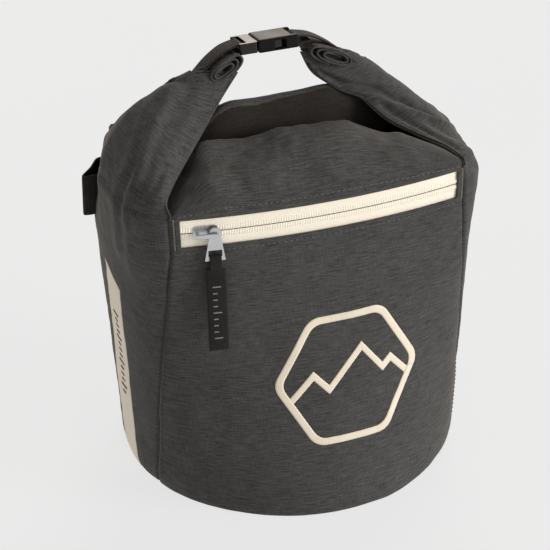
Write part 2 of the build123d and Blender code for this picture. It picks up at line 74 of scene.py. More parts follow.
CLOTH = 1.1
ZIP_HEIGHT = 201.0
WINDOW_LOW = 191.5
WINDOW_HIGH = 210.5
WINDOW_END = 0.968
SLIDER_TURN = -9.35
PULLER_X = 5.2
PULLER_PLANE = -3.2
BAR_Z = -16.65
TAG_TILT = 9.0
TAG_BLADE_FROM = 7.0
TAG_LENGTH = 60.0
LEAN = 10.0
LEAN_SLOPE = math.tan(math.radians(LEAN))
FLOOR_ROWS = [0.3, 0.8, 1.5, 2.5, 4, 6, 8.5, 12]  # heights of the close rows round the base edge

# Where the two sides of the neck run: the outer ridge (x, z) and the front edge (x, y, z).
LEFT_RIDGE = [(-122.5, 212), (-120.5, 221), (-116, 230), (-110, 239), (-102.5, 247), (-94.5, 253.5),
              (-85.5, 258.5), (-75, 263.3), (-64, 267)]
LEFT_EDGE = [(-97, -65, 212), (-99.5, -61, 220.5), (-93, -52.5, 226), (-83, -41, 231),
             (-67, -25, 239.5), (-46, -7, 255), (-31, 2, 268)]
RIGHT_RIDGE = [(110.5, 212), (103, 218), (94.5, 225.5), (83.5, 236), (71.5, 246), (59, 256.5),
               (48, 262.5)]
RIGHT_EDGE = [(97, -64, 213), (86, -51.5, 221), (76, -41, 223.5), (68, -31, 226), (60, -22, 229),
              (53, -13, 234.5), (47, -7, 240.6), (37.5, -4, 244.4), (28.5, -1, 250),
              (16.5, 1, 260.5), (10.5, 4, 274)]
LEFT_BACK_EDGE = [(-97, 64, 212), (-90, 54, 218), (-82, 44, 224), (-73, 35, 231), (-60, 25, 241),
                  (-46, 14, 255), (-31.5, 5, 269)]
RIGHT_BACK_EDGE = [(94, 62, 212), (86, 52, 216), (76, 42, 221), (64, 33, 228), (50, 25, 238),
                   (31, 14, 253), (11.5, 7, 274.5)]
CREST = [(-97, -64, 213), (-88, -55, 219), (-80, -41, 226), (-67, -26, 236), (-54, -23, 235),
         (-45, -23, 233.6), (-25, -23, 234.6), (0, -23, 237), (20, -23, 236), (35, -24, 233.5),
         (52, -35, 228.6), (62, -42, 227), (71, -50, 224), (84, -57, 220), (97, -64, 213)]


# ---- curves and grids ----

def smoothstep(low, high, value):
    share = np.clip((value - low) / (high - low), 0, 1)
    return share * share * (3 - 2 * share)


def curve_through(points, share):
    """A smooth curve through the points, at a share of the way along them."""
    points = np.array(points, float)
    last = len(points) - 1
    place = np.clip(np.asarray(share, float), 0, 1) * last
    index = np.minimum(place.astype(int), last - 1)
    t = (place - index)[..., None]
    ends = np.vstack([2 * points[0] - points[1], points, 2 * points[-1] - points[-2]])
    a, b, c, d = (ends[index + step] for step in range(4))
    cubic = (3 * b - a - 3 * c + d) * t**3
    square = (2 * a - 5 * b + 4 * c - d) * t**2
    return 0.5 * (2 * b + (c - a) * t + square + cubic)


def run_along(path):
    """How far along a path each of its points is."""
    return np.concatenate([[0], np.cumsum(np.linalg.norm(np.diff(path, axis=0), axis=1))])


def at_places(values, run, places):
    """The values of a path's points at other distances along it."""
    return np.stack([np.interp(places, run, values[:, axis]) for axis in range(values.shape[1])], axis=1)


def even_path(points, spacing):
    """The curve through the points as evenly spaced points."""
    fine = curve_through(points, np.linspace(0, 1, 40 * len(points)))
    run = run_along(fine)
    count = max(int(run[-1] / spacing), 2)
    return at_places(fine, run, np.linspace(0, run[-1], count + 1))


def headings(path):
    """The direction in which a path runs at each of its points."""
    ahead = np.gradient(path, axis=0)
    return ahead / np.linalg.norm(ahead, axis=1, keepdims=True)


def ripple(points, length, seed, waves=14):
    """A gentle random wave of about unit height over points, repeating nowhere near."""
    random = np.random.default_rng(seed)
    total = np.zeros(points.shape[:-1])
    for _ in range(waves):
        direction = random.normal(size=points.shape[-1])
        direction *= 2 * math.pi / (length * random.uniform(0.7, 1.6) * np.linalg.norm(direction))
        total += np.sin(points @ direction + random.uniform(0, 2 * math.pi))
    return total / math.sqrt(waves)


def grid_normals(grid, flip=False):
    normal = np.cross(np.gradient(grid, axis=1), np.gradient(grid, axis=0))
    normal /= np.maximum(np.linalg.norm(normal, axis=-1, keepdims=True), 1e-9)
    return -normal if flip else normal


def raised(grid, rise, flip=False):
    """The grid with its points moved out along the cloth's normals."""
    return grid + grid_normals(grid, flip) * rise[..., None]


def distance_to(points, path):
    """How far each point is from a path of straight steps."""
    best = np.full(points.shape[:-1], 1e9)
    for start, end in zip(path[:-1], path[1:]):
        step = end - start
        along = np.clip(((points - start) @ step) / max(step @ step, 1e-9), 0, 1)
        best = np.minimum(best, np.linalg.norm(points - start - along[..., None] * step, axis=-1))
    return best


def mesh_piece(name, points, faces, uvs=None, smooth=True):
    """A mesh object from points in millimetres; uvs are in metres, one for each point."""
    mesh = bpy.data.meshes.new(name)
    corners = (np.asarray(points, float) * MM).tolist()
    mesh.from_pydata(corners, [], [list(map(int, face)) for face in faces])
    if uvs is not None:
        layer = mesh.uv_layers.new(name="UVMap")
        corners = np.zeros(len(mesh.loops), dtype=np.int64)
        mesh.loops.foreach_get("vertex_index", corners)
        layer.data.foreach_set("uv", np.asarray(uvs, float)[corners].astype(np.float32).ravel())
    mesh.polygons.foreach_set("use_smooth", [smooth] * len(mesh.polygons))
    mesh.validate()
    mesh.update()
    piece = bpy.data.objects.new(name, mesh)
    bpy.context.scene.collection.objects.link(piece)
    return piece


def quads_of(index):
    """The quads between neighbouring rows and columns of a grid of point numbers."""
    return np.stack([index[:-1, :-1], index[:-1, 1:], index[1:, 1:], index[1:, :-1]], axis=-1)


def wrapped(index):
    """The grid with its first column again at the end."""
    return np.concatenate([index, index[:, :1]], axis=1)


def dress(piece, body, *nodes):
    """Makes a piece ride on a body in place of the frame's own nodes."""
    if nodes:
        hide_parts(*nodes)
    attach(piece, body)


def sheet(name, grid, thickness, flip=False, hole=None, closed=False, turned=False):
    """Cloth whose outer face is the grid, thickened inwards, with its edges closed."""
    rows, columns = grid.shape[:2]
    normals = grid_normals(grid, flip)
    outer = grid.reshape(-1, 3)
    inner = (grid - normals * thickness).reshape(-1, 3)
    index = np.arange(rows * columns).reshape(rows, columns)
    quads = quads_of(wrapped(index) if closed else index)
    if hole is not None:
        quads = quads[~hole]
    quads = quads.reshape(-1, 4)
    if flip:
        quads = quads[:, ::-1]
    edges = {(a, b) for quad in quads.tolist() for a, b in zip(quad, quad[1:] + quad[:1])}
    shift = rows * columns
    rims = [(b, a, a + shift, b + shift) for a, b in sorted(edges) if (b, a) not in edges]
    faces = quads.tolist() + (quads[:, ::-1] + shift).tolist() + rims
    across = np.cumsum(np.linalg.norm(np.diff(grid, axis=1, prepend=grid[:, :1]), axis=-1), axis=1)
    up = np.cumsum(np.linalg.norm(np.diff(grid, axis=0, prepend=grid[:1]), axis=-1), axis=0)
    run = np.tile(across.mean(axis=0), (rows, 1))
    rise = np.tile(up.mean(axis=1)[:, None], (1, columns))
    places = [rise, run] if turned else [run, rise]
    uvs = np.stack(places, axis=-1).reshape(-1, 2) * MM
    return mesh_piece(name, np.vstack([outer, inner]), faces, np.vstack([uvs, uvs]))


def sweep(name, path, width_dir, width, thickness, rib, pitch=1.3):
    """A flat band that follows a path, with woven ribs across it."""
    normals = np.cross(headings(path), width_dir)
    across = np.array([-0.5, -0.49, -0.42, 0.0, 0.42, 0.49, 0.5])
    edge = np.array([0.35, 0.8, 1.0, 1.0, 1.0, 0.8, 0.35])
    run = run_along(path)
    ribbed = 1 - rib * (0.5 + 0.5 * np.cos(2 * math.pi * run / pitch))
    half = 0.5 * thickness * ribbed[:, None] * edge[None, :]
    middle = path[:, None, :] + across[None, :, None] * width * width_dir
    top = middle + normals[:, None, :] * half[..., None]
    low = middle - normals[:, None, :] * half[..., None]
    ring = np.concatenate([top, low[:, ::-1]], axis=1)
    rows, columns = ring.shape[:2]
    index = np.arange(rows * columns).reshape(rows, columns)
    quads = quads_of(wrapped(index))
    caps = [index[0].tolist()[::-1], index[-1].tolist()]
    along = np.tile(run[:, None], (1, columns))
    place = np.tile(np.concatenate([across, across[::-1]])[None, :] * width, (rows, 1))
    uvs = np.stack([along, place], axis=-1).reshape(-1, 2) * MM
    return mesh_piece(name, ring.reshape(-1, 3), quads.reshape(-1, 4).tolist() + caps, uvs)


def stitches(name, points, normals, stitch=2.3, gap=1.3, radius=0.21):
    """Short threads lying along a path on the cloth, one for each stitch."""
    run = run_along(points)
    shares = np.array([0.0, 0.12, 0.5, 0.88, 1.0])
    swell = np.array([0.3, 0.9, 1.0, 0.9, 0.3])[:, None]
    lift = np.array([-0.5, 0.1, 0.5, 0.1, -0.5])[:, None]
    turns = np.arange(6) * math.pi / 3
    size = len(shares) * len(turns)
    threads, faces = [], []
    for start in np.arange(0.5, run[-1] - stitch, stitch + gap):
        centres, up = (at_places(values, run, start + shares * stitch) for values in (points, normals))
        ahead = centres[-1] - centres[0]
        sideways = np.cross(ahead / max(np.linalg.norm(ahead), 1e-9), up)
        out = (np.sin(turns) * swell + lift)[..., None] * up[:, None]
        aside = (np.cos(turns) * swell)[..., None] * sideways[:, None]
        index = len(threads) * size + np.arange(size).reshape(len(shares), len(turns))
        threads.append(centres[:, None] + (out + aside) * radius)
        faces += quads_of(wrapped(index)).reshape(-1, 4).tolist()
        faces += [index[0, ::-1].tolist(), index[-1].tolist()]
    return mesh_piece(name, np.array(threads).reshape(-1, 3), faces)


def sample(grid, row, column):
    """The grid's values at fractional rows and columns."""
    row = np.clip(row, 0, grid.shape[0] - 1.001)
    column = np.clip(column, 0, grid.shape[1] - 1.001)
    r, c = row.astype(int), column.astype(int)
    up, along = (row - r)[..., None], (column - c)[..., None]
    low = grid[r, c] * (1 - along) + grid[r, c + 1] * along
    high = grid[r + 1, c] * (1 - along) + grid[r + 1, c + 1] * along
    return low * (1 - up) + high * up


# ---- the bucket's wall ----

SLUMP_HEIGHTS = (0, 10, 30, 65, 107, 150, 188, 212)
LEFT_SLUMP = (1.6, 3.6, 3.4, 3.0, 2.4, 1.3, 2.4, 3.8)
RIGHT_SLUMP = (3.6, 4.8, 3.4, 0.2, -2.6, -3.8, -4.0, -3.1)


def wall_point(turn, height, inset=0.0):
    """The bag's outer face. Turn runs from 0 at the front to 3 at the right side and 6 at the back,
    and below 0 round the left side."""
    turn, height = np.broadcast_arrays(np.asarray(turn, float), np.asarray(height, float))
    side = np.where(turn < 0, -1.0, 1.0)
    reach = np.abs(turn)
    quarter = np.where(reach > 3, 6 - reach, reach)
    base_turn = np.radians(np.interp(quarter, (0, 1, 2, 3), BASE_TURNS))
    rim_turn = np.radians(np.interp(quarter, (0, 1, 2, 3), RIM_TURNS))
    kind = [quarter < 1, quarter > 2]
    radius = np.select(kind, [FRONT_RADIUS, SIDE_RADIUS], CORNER_RADIUS)
    centre_x = np.select(kind, [0.0, SIDE_CENTRE], CORNER_CENTRE[0])
    centre_y = np.select(kind, [FRONT_CENTRE, 0.0], CORNER_CENTRE[1])
    share = np.clip(height / UPRIGHT_FROM, 0, 1)
    tuck = inset + 1.8 * (1 - np.sqrt(1 - (1 - np.clip(height / 4.0, 0, 1)) ** 2))
    base = [(BASE_RADIUS - tuck) * np.sin(base_turn), -(BASE_RADIUS - tuck) * np.cos(base_turn)]
    rim = [centre_x + (radius - tuck) * np.sin(rim_turn), centre_y - (radius - tuck) * np.cos(rim_turn)]
    x = base[0] + (rim[0] - base[0]) * share
    y = base[1] + (rim[1] - base[1]) * share
    lean = (7.0 - 0.05 * side * x) * smoothstep(176, 214, height) * smoothstep(1.2, 0.5, quarter)
    left = np.interp(height, SLUMP_HEIGHTS, LEFT_SLUMP)
    right = np.interp(height, SLUMP_HEIGHTS, RIGHT_SLUMP)
    shoulder = smoothstep(184, 216, height) * smoothstep(1.7, 2.9, quarter) * np.where(side < 0, 1.0, 7.5)
    corner = smoothstep(0.9, 1.4, quarter) * (1 - smoothstep(2.2, 3.0, quarter))
    back_tuck = np.where(side < 0, 13.0, 9.5) * smoothstep(160, 216, height) * (reach > 3)
    front_tuck = 7.0 * smoothstep(200, 218, height) * (reach <= 3) * (side > 0)
    tucked = corner * (back_tuck + front_tuck)
    x = side * (x - shoulder - tucked) + side * np.where(side < 0, left, right) * (x / 110.0) ** 2
    return np.stack([x, np.where(reach > 3, -y - lean, y), height], axis=-1)


def seam_turn(height):
    """Where the slanting front seam runs."""
    return np.interp(height, (0, UPRIGHT_FROM), (BASE_SEAM, RIM_SEAM))


def turn_where(target, height, direction, low, high):
    """The turn between two others at which the wall has gone as far as the target in a direction."""
    low, high = (np.full(np.shape(target), end, float) for end in (low, high))
    for _ in range(26):
        middle = (low + high) / 2
        less = wall_point(middle, height) @ direction < target
        low = np.where(less, middle, low)
        high = np.where(less, high, middle)
    return (low + high) / 2


def wall_turn(x, height):
    """The turn at which the front wall is at a given x."""
    return turn_where(x, height, (1.0, 0, 0), -2.6, 2.6)


def seam_dip(grid, path, flip=False):
    """Pulls the cloth in along a seam."""
    return raised(grid, -SEAM_DEPTH * np.exp(-(distance_to(grid, path) / SEAM_WIDTH) ** 2), flip)


WALL_ROWS = np.concatenate([FLOOR_ROWS, np.linspace(16, 184, 57), np.linspace(186, RIM_HEIGHT, 16)])

# Folds of the two ears: each is a path of (across, height) places on the ear, with a width and a
# rise along the cloth's normal. Across runs from -1 at the front edge over 0 at the ridge.
LEFT_FOLDS = [
    ([(-0.80, 258), (-0.80, 246), (-0.78, 236), (-0.74, 226)], 2.6, -1.3),
    ([(-0.88, 252), (-0.88, 240), (-0.86, 230)], 3.6, 1.0),
    ([(-0.36, 294), (-0.41, 270), (-0.46, 246), (-0.50, 222), (-0.52, 196), (-0.50, 170)], 6.0, 1.5),
    ([(-0.60, 300), (-0.64, 280), (-0.63, 262), (-0.62, 240)], 6.5, -1.4),
    ([(-0.14, 292), (-0.24, 262), (-0.30, 236), (-0.33, 210), (-0.33, 176)], 6.5, 1.2),
    ([(-0.26, 284), (-0.34, 258), (-0.39, 234), (-0.42, 208)], 3.6, -1.1),
    ([(-0.50, 290), (-0.54, 266), (-0.57, 240), (-0.58, 214), (-0.57, 190)], 3.2, -1.0),
    ([(-0.72, 300), (-0.76, 284), (-0.74, 268)], 5.0, 1.0),
]
RIGHT_FOLDS = [
    ([(-0.96, 301), (-0.89, 287), (-0.76, 277), (-0.70, 267), (-0.50, 254), (-0.24, 234)], 2.4, -3.2),
    ([(-0.92, 284), (-0.82, 267), (-0.64, 253), (-0.40, 239), (-0.22, 222)], 4.6, 2.4),
    ([(-0.46, 298), (-0.38, 276), (-0.24, 256), (-0.08, 240)], 6.5, 1.7),
    ([(-0.90, 262), (-0.84, 246), (-0.80, 234), (-0.82, 222)], 2.6, -2.0),
    ([(-0.97, 266), (-0.93, 250), (-0.90, 236)], 2.2, 1.0),
    ([(-0.92, 216), (-0.80, 209), (-0.70, 206)], 2.8, -1.4),
    ([(-0.60, 244), (-0.54, 230), (-0.52, 214), (-0.52, 196)], 3.6, -1.3),
    ([(-0.36, 236), (-0.34, 216), (-0.34, 192)], 4.6, 1.1),
]
EAR_ROWS = 72
EAR_SPAN = 100.0
HEM_WIDTH = 9.0
ACROSS = np.linspace(-1, 1, 161)
EAR_SHARES = np.linspace(0, 1, EAR_ROWS + 1)[1:]
SIDE_HEIGHTS = np.concatenate([WALL_ROWS, RIM_HEIGHT + EAR_SPAN * EAR_SHARES])


def side_cloth_grid(side, ridge, edge, back_edge, folds):
    """One side of the bag as a single cloth: up the wall and on into the ear of the neck."""
    across = ACROSS[None, :]
    reach = np.abs(across)
    front_half = across < 0
    wall = wall_point(side * (3 + across * (3 - seam_turn(WALL_ROWS)[:, None])), WALL_ROWS[:, None])
    rim = wall[-1][None]
    share = EAR_SHARES[:, None]
    ridge_at, front_at, back_at = (curve_through(line, share) for line in (ridge, edge, back_edge))
    edge_at = np.where(front_half[..., None], front_at, back_at)
    bend = 0.62 + 0.30 * share
    quarter_turn = reach * math.pi / 2
    outward = np.where(front_half, np.cos(quarter_turn) ** bend, 1 - reach ** 1.25)
    sideways = np.sin(quarter_turn) ** np.where(front_half, bend, 0.8)
    middle_y = 2.0 + LEAN_SLOPE * (ridge_at[..., 1] - RIM_HEIGHT)
    arch = 5.0 * share**3 * np.sin(np.pi * (1 - reach))
    x = edge_at[..., 0] + (ridge_at[..., 0] - edge_at[..., 0]) * outward
    y = middle_y + (edge_at[..., 1] - middle_y) * sideways
    z = edge_at[..., 2] + (ridge_at[..., 1] - edge_at[..., 2]) * outward + arch
    ear = np.stack(np.broadcast_arrays(x, y, z), axis=-1)
    ridge_move = np.stack([ridge_at[..., 0] - rim[0, len(ACROSS) // 2, 0], middle_y - 2.0,
                           ridge_at[..., 1] - RIM_HEIGHT], axis=-1)
    end_move = np.where(front_half[..., None], front_at - rim[:, :1], back_at - rim[:, -1:])
    lifted = rim + ridge_move * outward[..., None] + end_move * (1 - outward[..., None])
    joined = smoothstep(0.0, 0.38, share)[..., None]
    grid = soften(np.concatenate([wall, lifted * (1 - joined) + ear * joined], axis=0))
    heights = SIDE_HEIGHTS[:, None]
    rise = np.zeros(grid.shape[:2])
    for places, width, height in folds:
        track = curve_through(places, np.linspace(0, 1, 24))
        rows = np.interp(track[:, 1], SIDE_HEIGHTS, np.arange(len(SIDE_HEIGHTS)))
        columns = np.interp(track[:, 0], ACROSS, np.arange(len(ACROSS)))
        path = grid[rows.round().astype(int), columns.round().astype(int)]
        rise += height * np.exp(-(distance_to(grid, path) / width) ** 2)
    from_tip = RIM_HEIGHT + EAR_SPAN - heights
    rise -= 0.7 * np.exp(-((from_tip - HEM_WIDTH) / 1.6) ** 2)
    rise += 0.35 * ripple(grid * (1, 1, 0.5), 34.0, seed=5 + side)
    rise += 0.12 * ripple(grid, 11.0, seed=9 + side)
    rise *= np.where(heights > RIM_HEIGHT, smoothstep(1.0, 0.93, reach), 1)
    return raised(grid, rise, side < 0)


def soften(grid, rounds=3):
    """Evens out the join between wall and ear. The lowest and highest rows stay where they are."""
    for _ in range(rounds):
        average = (grid[:-2] + grid[2:]) / 2
        grid = np.concatenate([grid[:1], grid[1:-1] * 0.5 + average * 0.5, grid[-1:]])
    return grid


SEAM_ROWS = np.linspace(0.5, RIM_HEIGHT, 60)
SEAM_DEPTH = 1.5
SEAM_WIDTH = 1.2


def front_seam(side):
    return wall_point(side * seam_turn(SEAM_ROWS), SEAM_ROWS)


def make_side_cloth(hand, side, *lines):
    """The wall's side and its ear, sewn to the front."""
    grid = seam_dip(side_cloth_grid(side, *lines), front_seam(side), side < 0)
    piece = sheet(hand + "_side_cloth", grid, CLOTH, side < 0)
    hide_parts("side_wrap", hand + "_ear")
    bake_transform(piece)
    return grid


# ---- the front cloth ----

FRONT_EDGE = np.linspace(0, 1, 22)[1:]
WINDOW_STEPS = 150
CREST_SHARE = 0.62  # how far up the neck's cloth its crest lies


def front_columns(height):
    """Turns across the front cloth: close steps beside the zip window and even ones between."""
    seam = seam_turn(height)
    right = WINDOW_END + (seam[:, None] - WINDOW_END) * FRONT_EDGE[None, :]
    near = np.tile(np.linspace(-WINDOW_END, WINDOW_END, WINDOW_STEPS + 1), (len(height), 1))
    return np.concatenate([-right[:, ::-1], near, right], axis=1)


def moved(place, ahead, up):
    """Places moved backwards and upwards."""
    return place + np.stack([0 * up, ahead + 0 * up, up], axis=-1)


def neck_profile(rim, crest, valley, share):
    """Up from the rim, back to the rounded crest and down into the valley by the roll."""
    up = share <= CREST_SHARE
    t = np.where(up, share / CREST_SHARE, (share - CREST_SHARE) / (1 - CREST_SHARE))[:, None, None]
    rise = crest[..., 2] - rim[..., 2]
    first = [rim, moved(rim, 1.0, 0.42 * rise),
             moved(crest + (rim - crest) * (0.55, 0.42, 0), 0.0, -0.04 * rise), crest]
    drop = crest[..., 2] - valley[..., 2]
    ahead = valley[..., 1] - crest[..., 1]
    second = [crest, moved(crest, 0.34 * ahead, 0.10 * drop),
              moved(crest, 0.40 * ahead, -0.62 * drop), valley]

    def cubic(p):
        return (1 - t)**3 * p[0] + 3 * (1 - t)**2 * t * p[1] + 3 * (1 - t) * t**2 * p[2] + t**3 * p[3]

    return np.where(up[:, None, None], cubic(first), cubic(second))


def neck_cloth(rim, crest_points, mirrored=False):
    """The neck's front or back cloth above the rim, for each point of the rim row."""
    crest_points = np.array(crest_points, float)
    share = np.interp(rim[:, 0] * 0.99, crest_points[:, 0], np.linspace(0, 1, len(crest_points)))
    crest = curve_through(crest_points, share)
    spread = np.abs(crest[:, 0]) / 97.0
    valley = crest.copy()
    target = 12.0 if mirrored else -8.0
    valley[:, 1] = target + (crest[:, 1] - target) * 0.35 * spread**2
    valley[:, 2] = crest[:, 2] - 16.0 + 9.0 * spread**2
    rows = np.concatenate([np.linspace(0, 0.16, 12)[1:], np.linspace(0.18, CREST_SHARE, 26),
                           np.linspace(0.64, 1, 20)])
    return neck_profile(rim[None], crest[None], valley[None], rows)


FRONT_ROWS = np.concatenate([FLOOR_ROWS, np.linspace(16, 184, 50), np.linspace(185, WINDOW_LOW, 14),
                             np.linspace(WINDOW_LOW, WINDOW_HIGH, 9)[1:], [211.2, RIM_HEIGHT]])
LOW_ROW = int(np.argmin(np.abs(FRONT_ROWS - WINDOW_LOW)))
HIGH_ROW = int(np.argmin(np.abs(FRONT_ROWS - WINDOW_HIGH)))
FIRST_COLUMN = len(FRONT_EDGE)
LAST_COLUMN = FIRST_COLUMN + WINDOW_STEPS


def make_front_cloth():
    """The pocket panel with the zip's window, and the front of the neck above it."""
    wall = wall_point(front_columns(FRONT_ROWS), FRONT_ROWS[:, None])
    grid = np.concatenate([wall, neck_cloth(wall[-1], CREST)], axis=0)
    window_edges = [grid[row, FIRST_COLUMN:LAST_COLUMN + 1] for row in (LOW_ROW, HIGH_ROW)]
    window_edges += [grid[LOW_ROW:HIGH_ROW + 1, column] for column in (FIRST_COLUMN, LAST_COLUMN)]
    near = np.min([distance_to(grid, edge) for edge in window_edges], axis=0)
    folded = 0.55 * smoothstep(4.2, 3.4, near) * smoothstep(-0.4, 0.8, near)
    sewn = -0.35 * np.exp(-((near - 3.6) / 0.5) ** 2)
    neck_share = smoothstep(RIM_HEIGHT + 2, RIM_HEIGHT + 14, grid[..., 2])
    waves = 0.30 * ripple(grid, 48.0, seed=21) + 0.10 * ripple(grid, 14.0, seed=22)
    puckers = 1.5 * ripple(grid * (0.7, 1, 1), 34.0, seed=23) + 0.25 * ripple(grid, 10.0, seed=24)
    rise = folded + sewn + waves * smoothstep(3, 9, near) + neck_share * puckers
    grid = raised(grid, rise)
    for side in (-1, 1):
        grid = seam_dip(grid, front_seam(side))
    hole = np.zeros((grid.shape[0] - 1, grid.shape[1] - 1), bool)
    hole[LOW_ROW:HIGH_ROW, FIRST_COLUMN:LAST_COLUMN] = True
    dress(sheet("front_cloth", grid, CLOTH, hole=hole), "bag", "front_pocket_panel", "front_upper_panel")
    return grid


BACK_CREST = [(-97, 64, 212.5), (-80, 44, 214), (-50, 30, 216), (0, 26, 217), (50, 30, 216),
              (80, 44, 214), (97, 64, 212.5)]


def make_back_cloth():
    """The back half of the wrap and the back of the neck, which has no pocket."""
    share = np.linspace(-1, 1, 150)[None, :]
    turn = np.where(share < 0, -6, 6) - share * seam_turn(WALL_ROWS)[:, None]
    wall = wall_point(turn, WALL_ROWS[:, None])
    grid = np.concatenate([wall, neck_cloth(wall[-1], BACK_CREST, mirrored=True)], axis=0)
    neck_share = smoothstep(RIM_HEIGHT + 2, RIM_HEIGHT + 12, grid[..., 2])
    rise = 0.4 * ripple(grid, 44.0, seed=31) + 0.12 * ripple(grid, 12.0, seed=32)
    rise += neck_share * 0.8 * ripple(grid, 26.0, seed=33)
    grid = raised(grid, rise, True)
    for side in (-1, 1):
        grid = seam_dip(grid, front_seam(side) * (1, -1, 1), True)
    dress(sheet("back_cloth", grid, CLOTH, True), "bag", "side_wrap", "back_upper_panel")


def make_inner_layer(name, node, inset, thickness, top):
    """A layer inside the wall, set further in behind the zip pocket and towards the rim."""
    turn = np.linspace(-6, 6, 181)[None, :-1]
    height = np.linspace(8, top, 60)[:, None]
    pocket = 5.6 * smoothstep(1.25, 0.95, np.abs(turn))
    grid = raised(wall_point(turn, height), -(inset + pocket + 3.5 * smoothstep(160, 196, height)))
    dress(sheet(name, grid, thickness, closed=True), "bag", node)


# ---- the neck's roll and gussets ----

ROLL_SECTION = [(-6.5, 208), (-6.4, 224), (-5.0, 236), (-3.0, 243.6), (-1.7, 247.0), (-0.4, 248.5),
                (1.4, 249.0), (3.4, 248.4), (5.2, 246.2), (7.6, 239), (9.2, 228), (9.8, 204)]
ROLL_HALF = 66.0
ROLL_LEVEL = 34.0  # how far out from the middle the roll stays level
ROLL_DROP = 24.0


def make_lip_roll():
    """The neck's two lips rolled together into one flat fold that sinks between the ears."""
    x = np.linspace(-ROLL_HALF, ROLL_HALF, 111)
    section = curve_through(ROLL_SECTION, np.linspace(0, 1, 96))
    drop = ROLL_DROP * np.clip((np.abs(x) - ROLL_LEVEL) / (ROLL_HALF - ROLL_LEVEL), 0, 1) ** 2
    body = smoothstep(204, 226, section[:, 1])
    y = section[:, 0] + 0.5 * np.sin(x / 23.0)[:, None]
    z = section[:, 1] - drop[:, None] * body
    grid = np.stack(np.broadcast_arrays(x[:, None], y, z), axis=-1)
    rise = ripple(grid * (0.4, 1, 1), 16.0, seed=41) + ripple(grid * (1, 0.3, 0.3), 30.0, seed=42)
    grid = raised(grid, 0.3 * rise)
    dress(sheet("lip_roll_cloth", grid, 1.2, flip=True, turned=True), "bag", "lip_roll")


def make_gusset(hand, side, side_grid):
    """The cloth tucked in between the front and back edges of an ear."""
    ear = side_grid[np.searchsorted(SIDE_HEIGHTS, RIM_HEIGHT - 1):-3:2]
    front, back = ear[:, :1], ear[:, -1:]
    share = np.linspace(0, 1, 25)[None, :, None]
    left_over = 1 - np.linspace(0, 1, len(ear))[:, None]
    grid = front + (back - front) * share
    bow = np.sin(np.pi * share[..., 0])
    grid[..., 0] += side * (bow * (9.0 * left_over + 2.5) + 0.8)
    grid[..., 2] -= bow * (15.0 * left_over + 2.0)
    grid = raised(grid, 0.9 * ripple(grid, 18.0, seed=51) * bow, side > 0)
    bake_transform(sheet(hand + "_gusset", grid, 0.9, side > 0))


TIP_CLEAR = 7  # columns left open at each end of an ear's tip
ROLL_END_DEPTH = 11.2


def make_ear_end(hand, side, side_grid):
    """The cloth that closes an ear's tip, a little inside its hem."""
    half = len(ACROSS) // 2
    front, back = side_grid[-2, TIP_CLEAR:half + 1], side_grid[-2, half:-TIP_CLEAR][::-1]
    share = np.linspace(0, 1, 15)[:, None, None]
    grid = front[None] + (back - front)[None] * share
    grid[..., 2] -= 2.0 * np.sin(np.pi * share[..., 0])
    dress(sheet(hand + "_ear_end", grid, 0.9, side < 0), hand + "_handle")


def turned_by(degrees, first, second):
    """Two coordinates after a turn from the first axis towards the second."""
    turn = math.radians(degrees)
    return (first * math.cos(turn) - second * math.sin(turn),
            first * math.sin(turn) + second * math.cos(turn))


def leaned(points):
    """Tips points of the upright handle plane back about the rim line."""
    y, z = turned_by(-LEAN, points[..., 1], points[..., 2] - RIM_HEIGHT)
    return np.stack([points[..., 0], y, z + RIM_HEIGHT], axis=-1)


def make_roll_end(hand, side, x, z, slope, half_length, half_height):
    """The end of the roll doubled back: cloth wound in a flattened spiral, seen end on."""
    turns = np.linspace(0, 2 * math.pi * 2.6, 170)
    shrink = 1 - 0.82 * turns / turns[-1]
    wide = half_length * (0.25 + 0.75 * shrink)
    tall = half_height * (0.06 + 0.94 * shrink)
    u = side * ((half_length - wide) * 0.25 - wide * np.sin(turns))
    v = -tall * np.sign(np.cos(turns)) * np.abs(np.cos(turns)) ** 0.8
    u, v = turned_by(slope, u, v)
    depth = np.linspace(-ROLL_END_DEPTH, ROLL_END_DEPTH, 16)[:, None]
    wobble = 0.5 * np.sin(turns * 1.7) * (1 - smoothstep(-ROLL_END_DEPTH, -6, depth))
    grid = leaned(np.stack(np.broadcast_arrays(x + u, depth + wobble, z + v), axis=-1))
    piece = sheet(hand + "_roll_end_cloth", grid, 1.25, flip=side > 0)
    dress(piece, hand + "_handle", hand + "_roll_end")


# ---- straps, loops and tag ----

WEBBING_WIDTH = 15.0
WEBBING_THICKNESS = 1.5
LOOP_RADIUS = 2.4
LOOP_STAND = 7.6
LOOP_THICKNESS = 1.4
STRAP_STEP = 0.24
BAR_TOP = 282.0
LOOP_TRIM = 4.0  # the woven loop is this much shorter than the frame's, at its top


def make_strap(hand, side, bar_x, points):
    """Webbing from the ear, round the buckle's bar and sewn back under itself."""
    top = even_path(points, STRAP_STEP)
    around = np.linspace(math.pi / 2, -math.pi / 2, 30)
    loop = np.stack([-side * np.cos(around), np.sin(around)], axis=1) * LOOP_RADIUS + (bar_x, BAR_TOP)
    sewn_end = top[int(len(top) * 0.82)] + (0.6, -2.0)
    under = even_path([loop[-1], loop[-1] + (side * 4.0, -0.2), sewn_end], STRAP_STEP)
    line = np.concatenate([top, loop[1:], under[1:]])
    path = even_path(leaned(np.insert(line, 1, 0, axis=1))[::6], STRAP_STEP)
    across = np.array([0.0, *turned_by(-LEAN, 1.0, 0.0)])
    webbing = sweep(hand + "_strap_webbing", path, across, WEBBING_WIDTH, WEBBING_THICKNESS, rib=0.32)
    dress(webbing, hand + "_handle", hand + "_strap")


